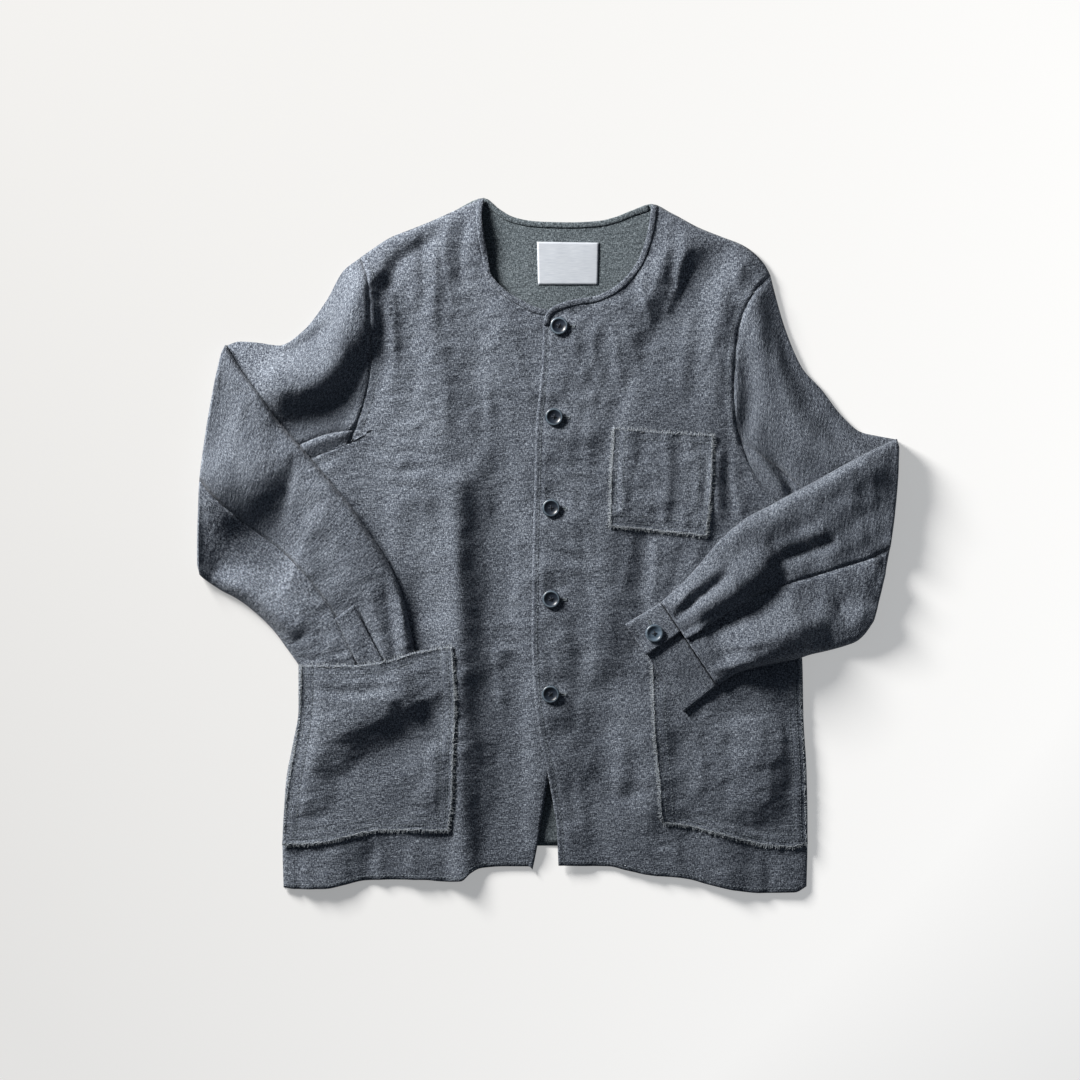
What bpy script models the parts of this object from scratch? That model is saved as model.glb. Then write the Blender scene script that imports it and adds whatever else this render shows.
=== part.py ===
"""A collarless linen jacket with five front buttons and raw edged patch pockets, laid flat.

The back lies on the surface, the two fronts lie over it, and each sleeve is folded back at the
elbow: one cuff rests on the front, and the other is tucked into its hip pocket. Every cloth piece
is a wall between two grids of points, an underside and an upper side. Plans and tables are in
millimetres, x to the wearer's left, y to the neck and z up, with the origin on the surface
under the middle of the garment. Right and left are the wearer's.
"""

import math

import bmesh
import bpy
import numpy as np
from mathutils import Vector
from mathutils.bvhtree import BVHTree

MM = 0.001
CLOTH = 1.2  # wall of the linen
FOLDED_CLOTH = 1.8  # wall of a cuff, which is two layers
SEAM = 0.3  # gap that stands for a seam, or between layers that touch
LOFT = 3.4  # how high the air in the garment lifts the upper layer
ROLL = 26.0  # width over which the upper layer rises from the garment's edge
FOREARM_ROLL = 24.0  # the same for a forearm
SLEEVE_COLUMNS = (5, 3, 3)  # steps from edge A to the back seam, on to the front seam, and to edge B
CREASE_STEPS = 4  # steps round the fold at an elbow
FOLD_RADIUS = 0.8  # inside an elbow's fold
EDGE_ROUND = 0.25  # how far a cut edge is rounded back
REACH = 3.5  # how far round a point the pile under it is felt

BUTTON_RADIUS = 9.0
BUTTON_HEIGHT = 3.4
BUTTON_RIM = 1.7
BUTTON_DISH = 1.5
BUTTON_STEPS = 16
BINDING_WIDTH = 6.0
BINDING_CLOTH = 1.0
LABEL_CLOTH = 1.0

LINEN = (0.135, 0.16, 0.19)
LINEN_INSIDE = (0.15, 0.178, 0.205)
HORN = (0.012, 0.018, 0.03)
LABEL_WHITE = (0.66, 0.7, 0.76)

# Edges of the cut pieces as they lie, each from its start to its end: x, y
SHOULDER_RIGHT = [(-60, 348), (-94, 333), (-114, 324), (-134, 316), (-154, 308), (-174, 295), (-184, 288)]
SHOULDER_LEFT = [(108, 342), (129, 332), (155, 318), (180, 308), (198, 301), (211, 292), (221, 281),
                 (227, 270)]
ARMHOLE_RIGHT = [(-184, 288), (-176, 265), (-173, 240), (-172.5, 210), (-173, 183), (-177, 155),
                 (-185, 127), (-194, 103)]
ARMHOLE_LEFT = [(227, 270), (212, 255), (200, 234), (194, 211), (191.5, 186), (190, 160), (191, 133),
                (194, 115), (199, 99)]
SIDE_RIGHT = [(-194, 103), (-204, 90.5), (-219, 83.5), (-233, 76), (-242, 58), (-246, 20), (-245, -60),
              (-244, -119), (-246, -165), (-252, -201), (-258, -233), (-260, -257), (-262, -300),
              (-261, -343)]
SIDE_LEFT = [(199, 99), (202, 76), (212, 54), (228, 38), (239, 18), (243, -20), (250, -60),
             (259, -120), (260, -174), (263, -225), (264, -275), (264, -298), (263, -342)]
NECK_RIGHT = [(-60, 348), (-62, 329), (-60, 310), (-56, 290), (-53, 272), (-45, 261), (-33, 251),
              (-20, 244),
              (-8, 238), (5, 235), (16, 231), (23, 223)]
NECK_LEFT = [(108, 342), (106, 326), (101, 303), (94, 285), (81, 267), (67, 256), (51, 249),
             (33, 246), (17, 242),
             (6, 236)]
NECK_BACK = [(-60, 348), (-45, 337), (-31, 329), (-13, 325), (1, 324), (28, 323.5), (55, 325),
             (72, 329), (87, 335), (108, 342)]
FRONT_EDGE_RIGHT = [(23, 223), (26, 200), (26, 145), (25, 45), (23, -55), (20, -135), (14, -195), (5, -230),
                    (1.5, -250), (-3, -277), (-7, -303), (-11.5, -325)]
FRONT_EDGE_LEFT = [(6, 236), (1, 229), (-0.5, 220), (-2, 185), (-5, 150), (-8, 120), (-9, 85),
                   (-10, 50), (-11.5, 0), (-12, -55),
                   (-12.5, -95), (-11.5, -128), (-8, -167), (-3, -199), (2.5, -221), (6, -241),
                   (10, -264), (13, -286),
                   (14.5, -321)]
HEM_RIGHT = [(-261, -343), (-248, -344.5), (-219, -344), (-199, -340), (-180, -336), (-151, -335),
             (-122, -335),
             (-97, -337), (-83, -336), (-73, -328), (-63, -323.5), (-39, -322), (-15, -322), (-11.5, -325)]
HEM_LEFT = [(14.5, -321), (40, -321.5), (65, -322), (83, -326), (108, -331), (139, -333.5),
            (167, -340.5), (193, -346),
            (218, -348.5), (251, -348), (263, -342)]
HEM_BACK = [(-261, -343), (-200, -322), (-100, -305), (0, -301.5), (100, -305), (200, -322), (263, -342)]

# Sleeve edges between armhole and elbow that the envelope of the lower layer also follows: x, y
ARM_TOP_RIGHT = [(-201, 275), (-209, 260), (-218, 245), (-241, 215), (-254, 206), (-272, 197),
                 (-286, 202), (-302, 204), (-318, 200)]
ARM_UNDER_RIGHT = [(-344, -30), (-322, 5), (-297, 35), (-272, 58), (-248, 78), (-225, 90), (-209, 96)]
ARM_TOP_LEFT = [(231, 255), (241, 217), (259, 176), (277, 157), (297, 130), (318, 112), (335, 109),
                (353, 106)]
ARM_UNDER_LEFT = [(322, -85), (308, -60), (292, -34), (272, -6), (252, 22), (234, 42), (218, 58), (206, 78)]
PAST_ELBOW_RIGHT = [(-377, 162), (-403, -68)]  # the envelope runs on past each elbow's crease
PAST_ELBOW_LEFT = [(404, 54), (374, -134)]
PAST_HEM = [(-262, -430), (265, -430)]  # and past the open hem and neck
PAST_NECK = [(108, 410), (-60, 410)]

# Main folds of the lower layer: half width, height, then the points that the crest or trough follows
LOWER_FOLDS = [
    ("ridge beside the right pocket", 13, 4.5, [(-92, 45), (-90, -60), (-86, -180), (-80, -340)]),
    ("trough beside the right pocket", 9, -3.5, [(-70, 30), (-68, -80), (-68, -200), (-62, -340)]),
    ("shoulder dent, right", 9, -4.0, [(-116, 312), (-134, 298), (-150, 284)]),
    ("shoulder crest, right", 10, 3.0, [(-150, 300), (-178, 276), (-192, 250)]),
    ("upper sleeve crest, right", 17, 6.5, [(-196, 250), (-222, 206), (-248, 184)]),
    ("upper sleeve valley, right", 13, -5.5, [(-178, 212), (-198, 166), (-236, 140), (-256, 144)]),
    ("underarm crest, right", 8, 3.5, [(-190, 140), (-212, 116), (-240, 106)]),
    ("chest fold, right, upper", 20, 1.8, [(-120, 250), (-108, 150), (-112, 60)]),
    ("chest fold, right, inner", 16, -1.6, [(-70, 240), (-62, 140), (-30, 20)]),
    ("chest crumple, right", 4, 1.5, [(-176, 76), (-140, 72), (-70, 69)]),
    ("shoulder dent, left", 13, -5.0, [(166, 306), (152, 284), (142, 258)]),
    ("shoulder crest, left", 13, 2.5, [(196, 282), (180, 250), (172, 215)]),
    ("neck fold, left", 10, -1.8, [(112, 300), (86, 235), (60, 150)]),
    ("chest fold, left", 16, 2.2, [(128, 270), (108, 200), (96, 130)]),
    ("upper sleeve crest, left", 16, 5.0, [(218, 225), (240, 150), (286, 92), (330, 78)]),
    ("upper sleeve valley, left", 12, -3.0, [(206, 180), (222, 116), (252, 74)]),
    ("front fold, left, low", 18, 2.5, [(62, -40), (76, -160), (82, -330)]),
    ("trough by the left pocket", 10, -2.5, [(98, -60), (101, -180), (108, -300)]),
    ("hem wave, left", 16, 3.0, [(178, -290), (186, -352)]),
    ("hem wave, right", 18, 3.0, [(-206, -290), (-214, -352)]),
]

# Sections of the right sleeve: name, edge A x, y, edge B x, y, share of the armhole's curve, bow
# outwards, back seam and front seam as shares of the width, loft of the upper wall
UPPER_ARM_RIGHT = [
    ("armhole", -184, 288, -194, 103, 1.0, 0, 0.50, 0.933, 0),
    ("cap", -201, 275, -209, 96, 0.65, 0, 0.50, 0.90, 0),
    ("below the cap", -218, 245, -225, 90, 0.35, 0, 0.51, 0.87, 0),
    ("biceps", -241, 215, -248, 78, 0.12, 0, 0.52, 0.84, 0),
    ("mid arm", -265, 200, -272, 58, 0.0, 0, 0.54, 0.82, 0),
    ("above the elbow", -288, 203, -297, 35, 0.0, 3, 0.56, 0.80, 0),
    ("elbow side", -305, 204, -322, 5, 0.0, 6, 0.58, 0.80, 0),
    ("crease", -318, 200, -344, -30, 0.0, 8, 0.60, 0.80, 0),
]
FOREARM_RIGHT = [
    ("crease", -318, 200, -344, -30, 0.0, 8, 0.60, 0.80, 4.8),
    ("fan 1", -304, 177, -341, -33, 0.0, 7, 0.60, 0.80, 5.1),
    ("fan 2", -285, 151, -336, -37, 0.0, 5, 0.60, 0.80, 5.4),
    ("fan 3", -269, 128, -329, -42, 0.0, 3, 0.59, 0.80, 5.4),
    ("fan 4", -250, 106, -321, -47, 0.0, 1, 0.59, 0.80, 5.4),
    ("fan 5", -231, 84, -311, -52, 0.0, 0, 0.58, 0.80, 5.4),
    ("below the elbow", -212, 62, -300, -59, 0.0, 0, 0.57, 0.80, 5.4),
    ("forearm 1", -190, 35, -289, -68, 0.0, 0, 0.56, 0.80, 5.4),
    ("forearm 2", -173, 10, -278, -78, 0.0, 0, 0.55, 0.80, 5.1),
    ("forearm 3", -158, -13, -268, -89, 0.0, 0, 0.55, 0.80, 4.8),
    ("forearm 4", -147, -35, -259, -101, 0.0, 0, 0.54, 0.80, 4.4),
    ("vent", -140, -56, -250, -113, 0.0, 0, 0.54, 0.80, 4.1),
    ("pocket mouth", -135, -77, -241, -126, 0.0, 0, 0.54, 0.80, 3.7),
    ("pleats", -131, -96, -232, -140, 0.0, 0, 0.54, 0.80, 3.1),
    ("cuff seam", -129, -112, -224, -153, 0.0, 0, 0.54, 0.80, 2.4),
]
UPPER_ARM_LEFT = [
    ("armhole", 227, 270, 199, 99, 1.0, 0, 0.50, 0.933, 0),
    ("cap", 232, 250, 206, 78, 0.65, 0, 0.50, 0.88, 0),
    ("below the cap", 242, 216, 218, 58, 0.35, 0, 0.51, 0.80, 0),
    ("biceps", 259, 177, 234, 42, 0.12, 0, 0.52, 0.76, 0),
    ("mid arm", 278, 156, 252, 22, 0.0, 0, 0.54, 0.75, 0),
    ("above the elbow", 298, 130, 272, -6, 0.0, 0, 0.55, 0.75, 0),
    ("elbow side 1", 318, 113, 292, -34, 0.0, 0, 0.56, 0.75, 0),
    ("elbow side 2", 336, 109, 308, -60, 0.0, 2, 0.58, 0.75, 0),
    ("crease", 352, 106, 322, -85, 0.0, 3, 0.585, 0.75, 0),
]
FOREARM_LEFT = [
    ("crease", 352, 106, 322, -85, 0.0, 3, 0.585, 0.75, 4.8),
    ("fan 1", 336, 99, 318, -91, 0.0, 2, 0.58, 0.75, 5.4),
    ("fan 2", 318, 90, 311, -97, 0.0, 1, 0.57, 0.75, 5.8),
    ("fan 3", 299, 80, 302, -101, 0.0, 0, 0.56, 0.75, 6.1),
    ("below the elbow", 280, 69, 292, -104, 0.0, 0, 0.55, 0.75, 6.1),
    ("forearm 1", 260, 58, 280, -107, 0.0, 0, 0.54, 0.75, 6.1),
    ("forearm 2", 241, 48, 266, -110, 0.0, 0, 0.53, 0.75, 6.1),
    ("forearm 3", 223, 38, 252, -114, 0.0, 0, 0.52, 0.75, 6.1),
    ("vent top", 205, 29, 237, -117, 0.0, 0, 0.51, 0.75, 5.8),
    ("vent 1", 189, 17, 222, -120, 0.0, 0, 0.49, 0.75, 5.8),
    ("vent 2", 173, 2, 208, -123, 0.0, 0, 0.46, 0.75, 5.4),
    ("vent 3", 157, -17, 195, -127, 0.0, 0, 0.43, 0.75, 5.1),
    ("pleats", 139, -37, 184, -133, 0.0, 0, 0.40, 0.75, 4.1),
    ("cuff seam", 117, -57, 173, -141, 0.0, 0, 0.37, 0.75, 3.1),
]

# Folds of each forearm's upper wall: half width, height, then the points of the crest or trough
FOREARM_FOLDS_RIGHT = [
    ("elbow hollow", 26, -5.0, [(-318, 60), (-286, 28), (-252, 14)]),
    ("elbow crest", 20, 4.0, [(-300, 120), (-262, 84), (-226, 40)]),
    ("lower crest", 18, 3.0, [(-316, -18), (-286, -40), (-256, -72)]),
    ("pleat 1", 6, 3.0, [(-150, -30), (-141, -66), (-137, -104)]),
    ("pleat valley 1", 5, -3.0, [(-160, -42), (-152, -78), (-146, -112)]),
    ("pleat 2", 6, 2.5, [(-174, -46), (-163, -82), (-156, -118)]),
    ("pleat valley 2", 5, -2.5, [(-196, -58), (-181, -96), (-170, -126)]),
]
FOREARM_FOLDS_LEFT = [
    ("upper roll", 10, 4.0, [(318, 84), (262, 46), (206, 14)]),
    ("valley under the roll", 12, -4.5, [(304, 44), (256, 18), (212, -8)]),
    ("elbow crest", 16, 3.0, [(326, 10), (286, -30), (240, -70)]),
    ("pleat 1", 6, 3.0, [(178, 0), (150, -28), (126, -62)]),
    ("pleat valley 1", 5, -3.0, [(176, -12), (152, -40), (127, -70)]),
    ("pleat 2", 7, 3.0, [(196, -14), (166, -40), (134, -74)]),
]

# The vent of the left sleeve: how far its upper edge stands above the lower one, and reaches over it
VENT_LEFT = {"vent top": (2.4, 0.0), "vent 1": (3.6, 6.0), "vent 2": (4.2, 8.0), "vent 3": (4.4, 8.0),
             "pleats": (4.4, 8.0), "cuff seam": (4.0, 7.0)}

# Cuffs: edge A x, y, edge B x, y at the seam, then at the open end
CUFF_RIGHT = [(-128.6, -112.8, -223.6, -153.8), (-104, -147, -199, -188)]
CUFF_LEFT = [(116.4, -57.5, 172.4, -141.5), (81, -79, 140, -167)]
CUFF_TAB = 0.35  # the buttoned end, as a share of the width from edge A
CUFF_UNDERLAP = 0.12  # where the end under it stops
CUFF_LIFT = 4.2  # how far the tab stands above the end under it

CHEST_POCKET = {
    "top": [(69, 118), (118, 113.5), (170, 110.5)],
    "bottom": [(65, 18), (112, 13.5), (163, 8)],
    "left": [(69, 118), (66, 68), (65, 18)],
    "right": [(170, 110.5), (168, 60), (163, 8)],
}
HIP_POCKET_RIGHT = {
    "top": [(-243, -119.5), (-190, -119.5), (-157, -115), (-126, -106), (-91, -100)],
    "bottom": [(-262, -300), (-243, -300), (-219, -297.5), (-189.5, -290.5), (-160, -286),
               (-131, -286), (-95, -286.5)],
    "left": [(-243, -119.5), (-245, -165), (-250, -201), (-256, -233), (-259, -257), (-261, -286),
             (-262, -300)],
    "right": [(-91, -100), (-88, -165), (-90, -213), (-91, -252), (-95, -286.5)],
}
HIP_POCKET_LEFT = {
    "top": [(105, -97), (180, -98), (256, -103)],
    "bottom": [(119, -279), (139, -281), (165, -287), (193, -294.5), (221, -301), (246, -303), (264, -299)],
    "left": [(105, -97), (107, -125), (108, -161), (110, -199), (114, -237), (116, -270), (119, -279)],
    "right": [(256, -103), (259, -174), (262, -225), (263, -275), (264, -299)],
}
PLACKET_RIGHT = {
    "top": [(-208, -73), (-189, -59)],
    "bottom": [(-180, -130), (-158, -120)],
    "left": [(-208, -73), (-193, -104), (-180, -130)],
    "right": [(-189, -59), (-174, -90), (-158, -120)],
}
LABEL = {
    "top": [(-7, 304), (55, 303)],
    "bottom": [(-6, 261), (54, 261)],
    "left": [(-7, 304), (-6, 261)],
    "right": [(55, 303), (54, 261)],
}

FRONT_BUTTONS = [(15, 219), (10, 128), (7, 37), (7, -54), (6.5, -149)]
CUFF_BUTTON_LEFT = (110, -88)
CUFF_BUTTON_RIGHT = (-147, -145)

NECK_END = 0.28  # share of a front's inner edge that is neckline
ARMHOLE_END = 0.30  # share of a panel's outer edge that is armhole
CUFF_INSIDE = 2.2  # clear height inside a cuff
CUFF_BELOW = (0.04, 0.15, 0.32, 0.5, 0.68, 0.85, 0.96)  # columns of its underside, as shares of the width
BUTTON_FEEL = (0.0, 4.0, 8.0, 9.0)  # rings on which a button feels what it lies on

# Columns of the fronts as shares of their width, closer together at the long folds
FRONT_RIGHT_COLUMNS = np.array([0, 0.03, 0.09, 0.18, 0.28, 0.39, 0.49, 0.57, 0.63, 0.68, 0.73, 0.78, 0.84, 0.91, 0.97, 1])
FRONT_LEFT_COLUMNS = np.array([0, 0.04, 0.1, 0.17, 0.25, 0.32, 0.39, 0.46, 0.54, 0.62, 0.7, 0.78, 0.86, 0.93, 0.975, 1])


def through(table, shares):
    """Points on a smooth line through the table's points, at shares of its length, with no overshoot."""
    points = np.array(table, float)
    steps = np.linalg.norm(np.diff(points, axis=0), axis=1)
    knots = np.concatenate([[0], np.cumsum(steps)]) / steps.sum()
    secants = np.diff(points, axis=0) / np.diff(knots)[:, None]
    slopes = np.zeros_like(points)
    before, after = secants[:-1], secants[1:]
    same_way = before * after > 0
    slopes[1:-1][same_way] = (2 * before * after)[same_way] / (before + after)[same_way]
    slopes[0], slopes[-1] = secants[0], secants[-1]
    at = np.clip(np.asarray(shares, float), 0, 1)
    i = np.clip(np.searchsorted(knots, at, side="right") - 1, 0, len(knots) - 2)
    span = (knots[i + 1] - knots[i])[:, None]
    u = (at[:, None] - knots[i][:, None]) / span
    return (
        (2 * u**3 - 3 * u**2 + 1) * points[i]
        + (u**3 - 2 * u**2 + u) * span * slopes[i]
        + (3 * u**2 - 2 * u**3) * points[i + 1]
        + (u**3 - u**2) * span * slopes[i + 1]
    )


def joined(first, second, split, shares):
    """Points on two lines that follow on, the first up to the share split and the second after it."""
    shares = np.asarray(shares, float)
    early = through(first, np.minimum(shares / split, 1))
    late = through(second, np.maximum((shares - split) / (1 - split), 0))
    return np.where((shares <= split)[:, None], early, late)


def patch(top, bottom, left, right):
    """A plan of rows and columns that fills four edges, each given as its points in order."""
    rows, columns = len(left), len(top)
    t = np.linspace(0, 1, rows)[:, None, None]
    s = np.linspace(0, 1, columns)[None, :, None]
    across = (1 - s) * left[:, None] + s * right[:, None]
    down = (1 - t) * top[None] + t * bottom[None]
    corners = (1 - t) * ((1 - s) * left[0] + s * right[0]) + t * ((1 - s) * left[-1] + s * right[-1])
    return across + down - corners


def inset(plan, left=0.0, right=0.0, top=0.0, bottom=0.0):
    """The plan with its outer rows and columns moved inwards by these distances."""
    moved = plan.copy()
    for side, distance in (((slice(None), 0, 1), left), ((slice(None), -1, -2), right)):
        toward = plan[:, side[2]] - plan[:, side[1]]
        moved[:, side[1]] += distance * toward / np.linalg.norm(toward, axis=1)[:, None]
    for edge, inner, distance in ((0, 1, top), (-1, -2, bottom)):
        toward = moved[inner] - moved[edge]
        moved[edge] += distance * toward / np.linalg.norm(toward, axis=1)[:, None]
    return moved


def distance_to_line(points, line):
    """How far each point is from a line of points."""
    start, run = line[:-1], np.diff(line, axis=0)
    away = points[:, None] - start[None]
    share = np.clip((away * run).sum(2) / (run * run).sum(1), 0, 1)
    return np.linalg.norm(away - share[:, :, None] * run, axis=2).min(axis=1)


def is_inside(points, outline):
    """Whether each point is inside a closed outline, by counting the edges to its right."""
    start, end = outline, np.roll(outline, -1, axis=0)
    x, y = points[:, :1], points[:, 1:]
    spans = (start[:, 1] > y) != (end[:, 1] > y)
    rise = np.where(end[:, 1] == start[:, 1], 1.0, end[:, 1] - start[:, 1])
    crossing = start[:, 0] + (y - start[:, 1]) * (end[:, 0] - start[:, 0]) / rise
    return (spans & (x < crossing)).sum(axis=1) % 2 == 1


def fold_height(points, folds):
    """Sum of the folds, each a soft crest or trough along its line."""
    total = np.zeros(len(points))
    for _name, half_width, height, line in folds:
        away = distance_to_line(points, np.array(line, float))
        total += height * np.exp(-((away / half_width) ** 2))
    return total


def rise(distance, width):
    """A quarter round: 0 at the edge and 1 from that width inwards, upright at the edge."""
    short = 1 - np.clip(distance / width, 0, 1)
    return np.sqrt(1 - short**2)


ENVELOPE = np.array(
    SHOULDER_RIGHT + ARM_TOP_RIGHT + PAST_ELBOW_RIGHT + ARM_UNDER_RIGHT + SIDE_RIGHT + PAST_HEM
    + SIDE_LEFT[::-1] + ARM_UNDER_LEFT[::-1] + PAST_ELBOW_LEFT[::-1] + ARM_TOP_LEFT[::-1]
    + SHOULDER_LEFT[::-1] + PAST_NECK, float)
HEM_LINE = -345.0
HEM_SETTLE = 110.0  # the upper layer comes down over this length towards the open hem
HEM_LOFT = 0.5


def envelope_under(plan):
    """Underside of the garment's upper layer, body and upper arms alike, over any plan of points."""
    points = plan.reshape(-1, 2)
    distance = np.where(is_inside(points, ENVELOPE), distance_to_line(points, np.vstack([ENVELOPE, ENVELOPE[:1]])), 0)
    settle = np.clip((points[:, 1] - HEM_LINE) / HEM_SETTLE, 0, 1)
    loft = LOFT * (HEM_LOFT + (1 - HEM_LOFT) * settle)
    height = loft * rise(distance, ROLL) + fold_height(points, LOWER_FOLDS) * np.clip(distance / ROLL, 0, 1)
    return (CLOTH + SEAM + np.maximum(height, 0)).reshape(plan.shape[:-1])


def wall_rise(plan, under):
    """Upright thickness that gives a sloping wall its cloth's thickness."""
    step = 0.5
    slope_x = (under(plan + [step, 0]) - under(plan - [step, 0])) / (2 * step)
    slope_y = (under(plan + [0, step]) - under(plan - [0, step])) / (2 * step)
    return CLOTH * np.minimum(np.sqrt(1 + slope_x**2 + slope_y**2), 1.7)


def stacked(plan, height):
    """The plan's points at these heights."""
    return np.concatenate([plan, np.broadcast_to(height, plan.shape[:-1])[..., None]], axis=-1)


def add_material(obj, name, colour, roughness):
    material = bpy.data.materials.get(name) or bpy.data.materials.new(name)
    material.use_nodes = True
    shader = material.node_tree.nodes["Principled BSDF"]
    shader.inputs["Base Color"].default_value = (*colour, 1)
    shader.inputs["Roughness"].default_value = roughness
    shader.inputs["Metallic"].default_value = 0
    obj.data.materials.append(material)


def add_object(name, mesh, colour=LINEN, material="linen", roughness=0.9):
    obj = bpy.data.objects.new(name, mesh)
    garment.objects.link(obj)
    add_material(obj, material, colour, roughness)
    return obj


def cloth_wall(name, under, over, **look):
    """A closed wall between two grids of points. One grid wraps round both sides like a pillowcase,
    with a rim row at each end. Both sides are split along the same diagonals, so they stay apart."""
    under, over = under.copy(), over.copy()
    rim = (under + over) / 2
    for face in (under, over):
        for edge, inner in ((0, 1), (-1, -2)):
            toward = face[inner] - face[edge]
            face[edge] += EDGE_ROUND * toward / np.linalg.norm(toward, axis=1)[:, None]
    loop = np.concatenate([under, over[:, ::-1], under[:, :1]], axis=1)
    ends = np.concatenate([rim, rim[:, ::-1], rim[:, :1]], axis=1)
    grid = np.concatenate([ends[:1], loop, ends[-1:]], axis=0)
    rows, columns = grid.shape[:2]
    bm = bmesh.new()
    verts = bmesh.ops.create_grid(bm, x_segments=columns - 1, y_segments=rows - 1, size=1)["verts"]
    for vert, point in zip(verts, grid.reshape(-1, 3)):
        vert.co = Vector(point) * MM
    order = {vert: number % columns for number, vert in enumerate(verts)}
    turned_over = [f for f in bm.faces if min(order[v] for v in f.verts) >= under.shape[1]]
    bmesh.ops.triangulate(bm, faces=turned_over, quad_method="ALTERNATE")
    bmesh.ops.triangulate(bm, faces=[f for f in bm.faces if len(f.verts) == 4], quad_method="FIXED")
    bmesh.ops.remove_doubles(bm, verts=bm.verts, dist=1e-6)
    bmesh.ops.recalc_face_normals(bm, faces=bm.faces)
    mesh = bpy.data.meshes.new(name)
    bm.to_mesh(mesh)
    bm.free()
    mesh.shade_smooth()
    obj = add_object(name, mesh, **look)
    points = [tuple(v.co / MM) for v in mesh.vertices]
    pile[name] = BVHTree.FromPolygons(points, [tuple(p.vertices) for p in mesh.polygons])
    return obj


def top_of(trees, plan, reach):
    """Height of the highest thing within that reach of each point of the plan."""
    ring = [(0.0, 0.0)] + [(math.cos(a), math.sin(a)) for a in np.linspace(0, 2 * np.pi, 8, endpoint=False)]
    heights = np.zeros(plan.shape[:-1])
    for index in np.ndindex(heights.shape):
        for dx, dy in ring:
            start = Vector((plan[index][0] + reach * dx, plan[index][1] + reach * dy, 200.0))
            for tree in trees:
                hit = tree.ray_cast(start, Vector((0, 0, -1)))[0]
                if hit is not None:
                    heights[index] = max(heights[index], hit.z)
    return heights


def corner_weights(a, b):
    return (((1 - a) * (1 - b), slice(None, -1), slice(None, -1)), (a * (1 - b), slice(1, None), slice(None, -1)),
            ((1 - a) * b, slice(None, -1), slice(1, None)), (a * b, slice(1, None), slice(1, None)))


def lower_split(height, a, b):
    """Height inside each quad of the grid, for the lower of its two splits into triangles."""
    h00, h10, h01, h11 = (height[rows, columns] for _w, rows, columns in corner_weights(a, b))
    if a > b:
        one = h00 + a * (h10 - h00) + b * (h11 - h10)
    else:
        one = h00 + b * (h01 - h00) + a * (h11 - h01)
    if a + b < 1:
        other = h00 + a * (h10 - h00) + b * (h01 - h00)
    else:
        other = h11 + (1 - a) * (h01 - h11) + (1 - b) * (h10 - h11)
    return np.minimum(one, other)


def draped(plan, trees, smooth, first=None):
    """Heights for a grid of cloth that lies on the trees, and clears them between its points too."""
    floor = top_of(trees, plan, REACH) + SEAM
    height = floor.copy()
    for _ in range(smooth):
        padded = np.pad(height, 1, mode="edge")
        around = (padded[:-2, 1:-1] + padded[2:, 1:-1] + padded[1:-1, :-2] + padded[1:-1, 2:]) / 4
        height = np.maximum((height + around) / 2, floor)
    if first is not None:
        height[0] = first
    samples = []
    for a in (0, 0.25, 0.5, 0.75, 1):
        for b in (0, 0.25, 0.5, 0.75, 1):
            weights = corner_weights(a, b)
            spots = sum(w * plan[rows, columns] for w, rows, columns in weights)
            wanted = top_of(trees, spots, REACH) + SEAM
            if first is not None:
                wanted[0] = top_of(trees, spots[0], 0) + SEAM if a > 0.4 else 0
            samples.append((a, b, weights, wanted))
    for _ in range(12):
        lift = np.zeros_like(height)
        for a, b, weights, wanted in samples:
            short = np.maximum(wanted - lower_split(height, a, b), 0)
            scale = sum(w * w for w, _r, _c in weights)
            for w, rows, columns in weights:
                lift[rows, columns] = np.maximum(lift[rows, columns], short * w / scale)
        if first is not None:
            lift[0] = 0
        height = height + lift
    return height


def lay(name, plan, cloth, over, smooth=2, **look):
    """A flat piece laid on others, which it clears by a seam's gap."""
    base = draped(plan, on(*over), smooth)
    return cloth_wall(name, stacked(plan, base), stacked(plan, base + cloth), **look)


def on(*names):
    return [pile[name] for name in names]


def width_shares(row):
    """Shares of a sleeve's width at its columns, with one at each seam, closer together at the edges."""
    back_seam, front_seam = row[7], row[8]
    first, middle, last = (np.arange(count + 1) / count for count in SLEEVE_COLUMNS)
    return np.concatenate([
        back_seam * (1 - np.cos(first * np.pi / 2)),
        (back_seam + (front_seam - back_seam) * middle)[1:],
        (front_seam + (1 - front_seam) * np.sin(last * np.pi / 2))[1:]])


def side_rows(count):
    """Shares of a panel's outer edge: the armhole's columns of the sleeve, then even rows down the side."""
    return np.concatenate([width_shares(UPPER_ARM_RIGHT[0]) * ARMHOLE_END, np.linspace(ARMHOLE_END, 1, count + 1)[1:]])


def make_back():
    rows = side_rows(16)
    left = joined(ARMHOLE_RIGHT, SIDE_RIGHT, ARMHOLE_END, rows)
    right = joined(ARMHOLE_LEFT, SIDE_LEFT, ARMHOLE_END, rows)
    top_line = SHOULDER_RIGHT[::-1] + NECK_BACK[1:-1] + SHOULDER_LEFT
    columns = np.linspace(0, 1, 13)
    plan = patch(through(top_line, columns), through(HEM_BACK, columns), left, right)
    plan = inset(plan, left=SEAM, right=SEAM)
    cloth_wall("back", stacked(plan, 0.0), stacked(plan, CLOTH), colour=LINEN_INSIDE, material="linen_inside")


def raise_over_placket(plan):
    """1 where the left front lies over the right one, falling to 0 further in."""
    edge = through(FRONT_EDGE_RIGHT, np.linspace(0, 1, 60))
    inner_x = np.interp(-plan[..., 1], -edge[:, 1], edge[:, 0], left=edge[0, 0], right=edge[-1, 0])
    away = np.clip((plan[..., 0] - inner_x - 4) / 26, 0, 1)
    return 1 - away * away * (3 - 2 * away)


def left_under(plan):
    return envelope_under(plan) + (CLOTH * 1.25 + SEAM) * raise_over_placket(plan)


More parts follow.
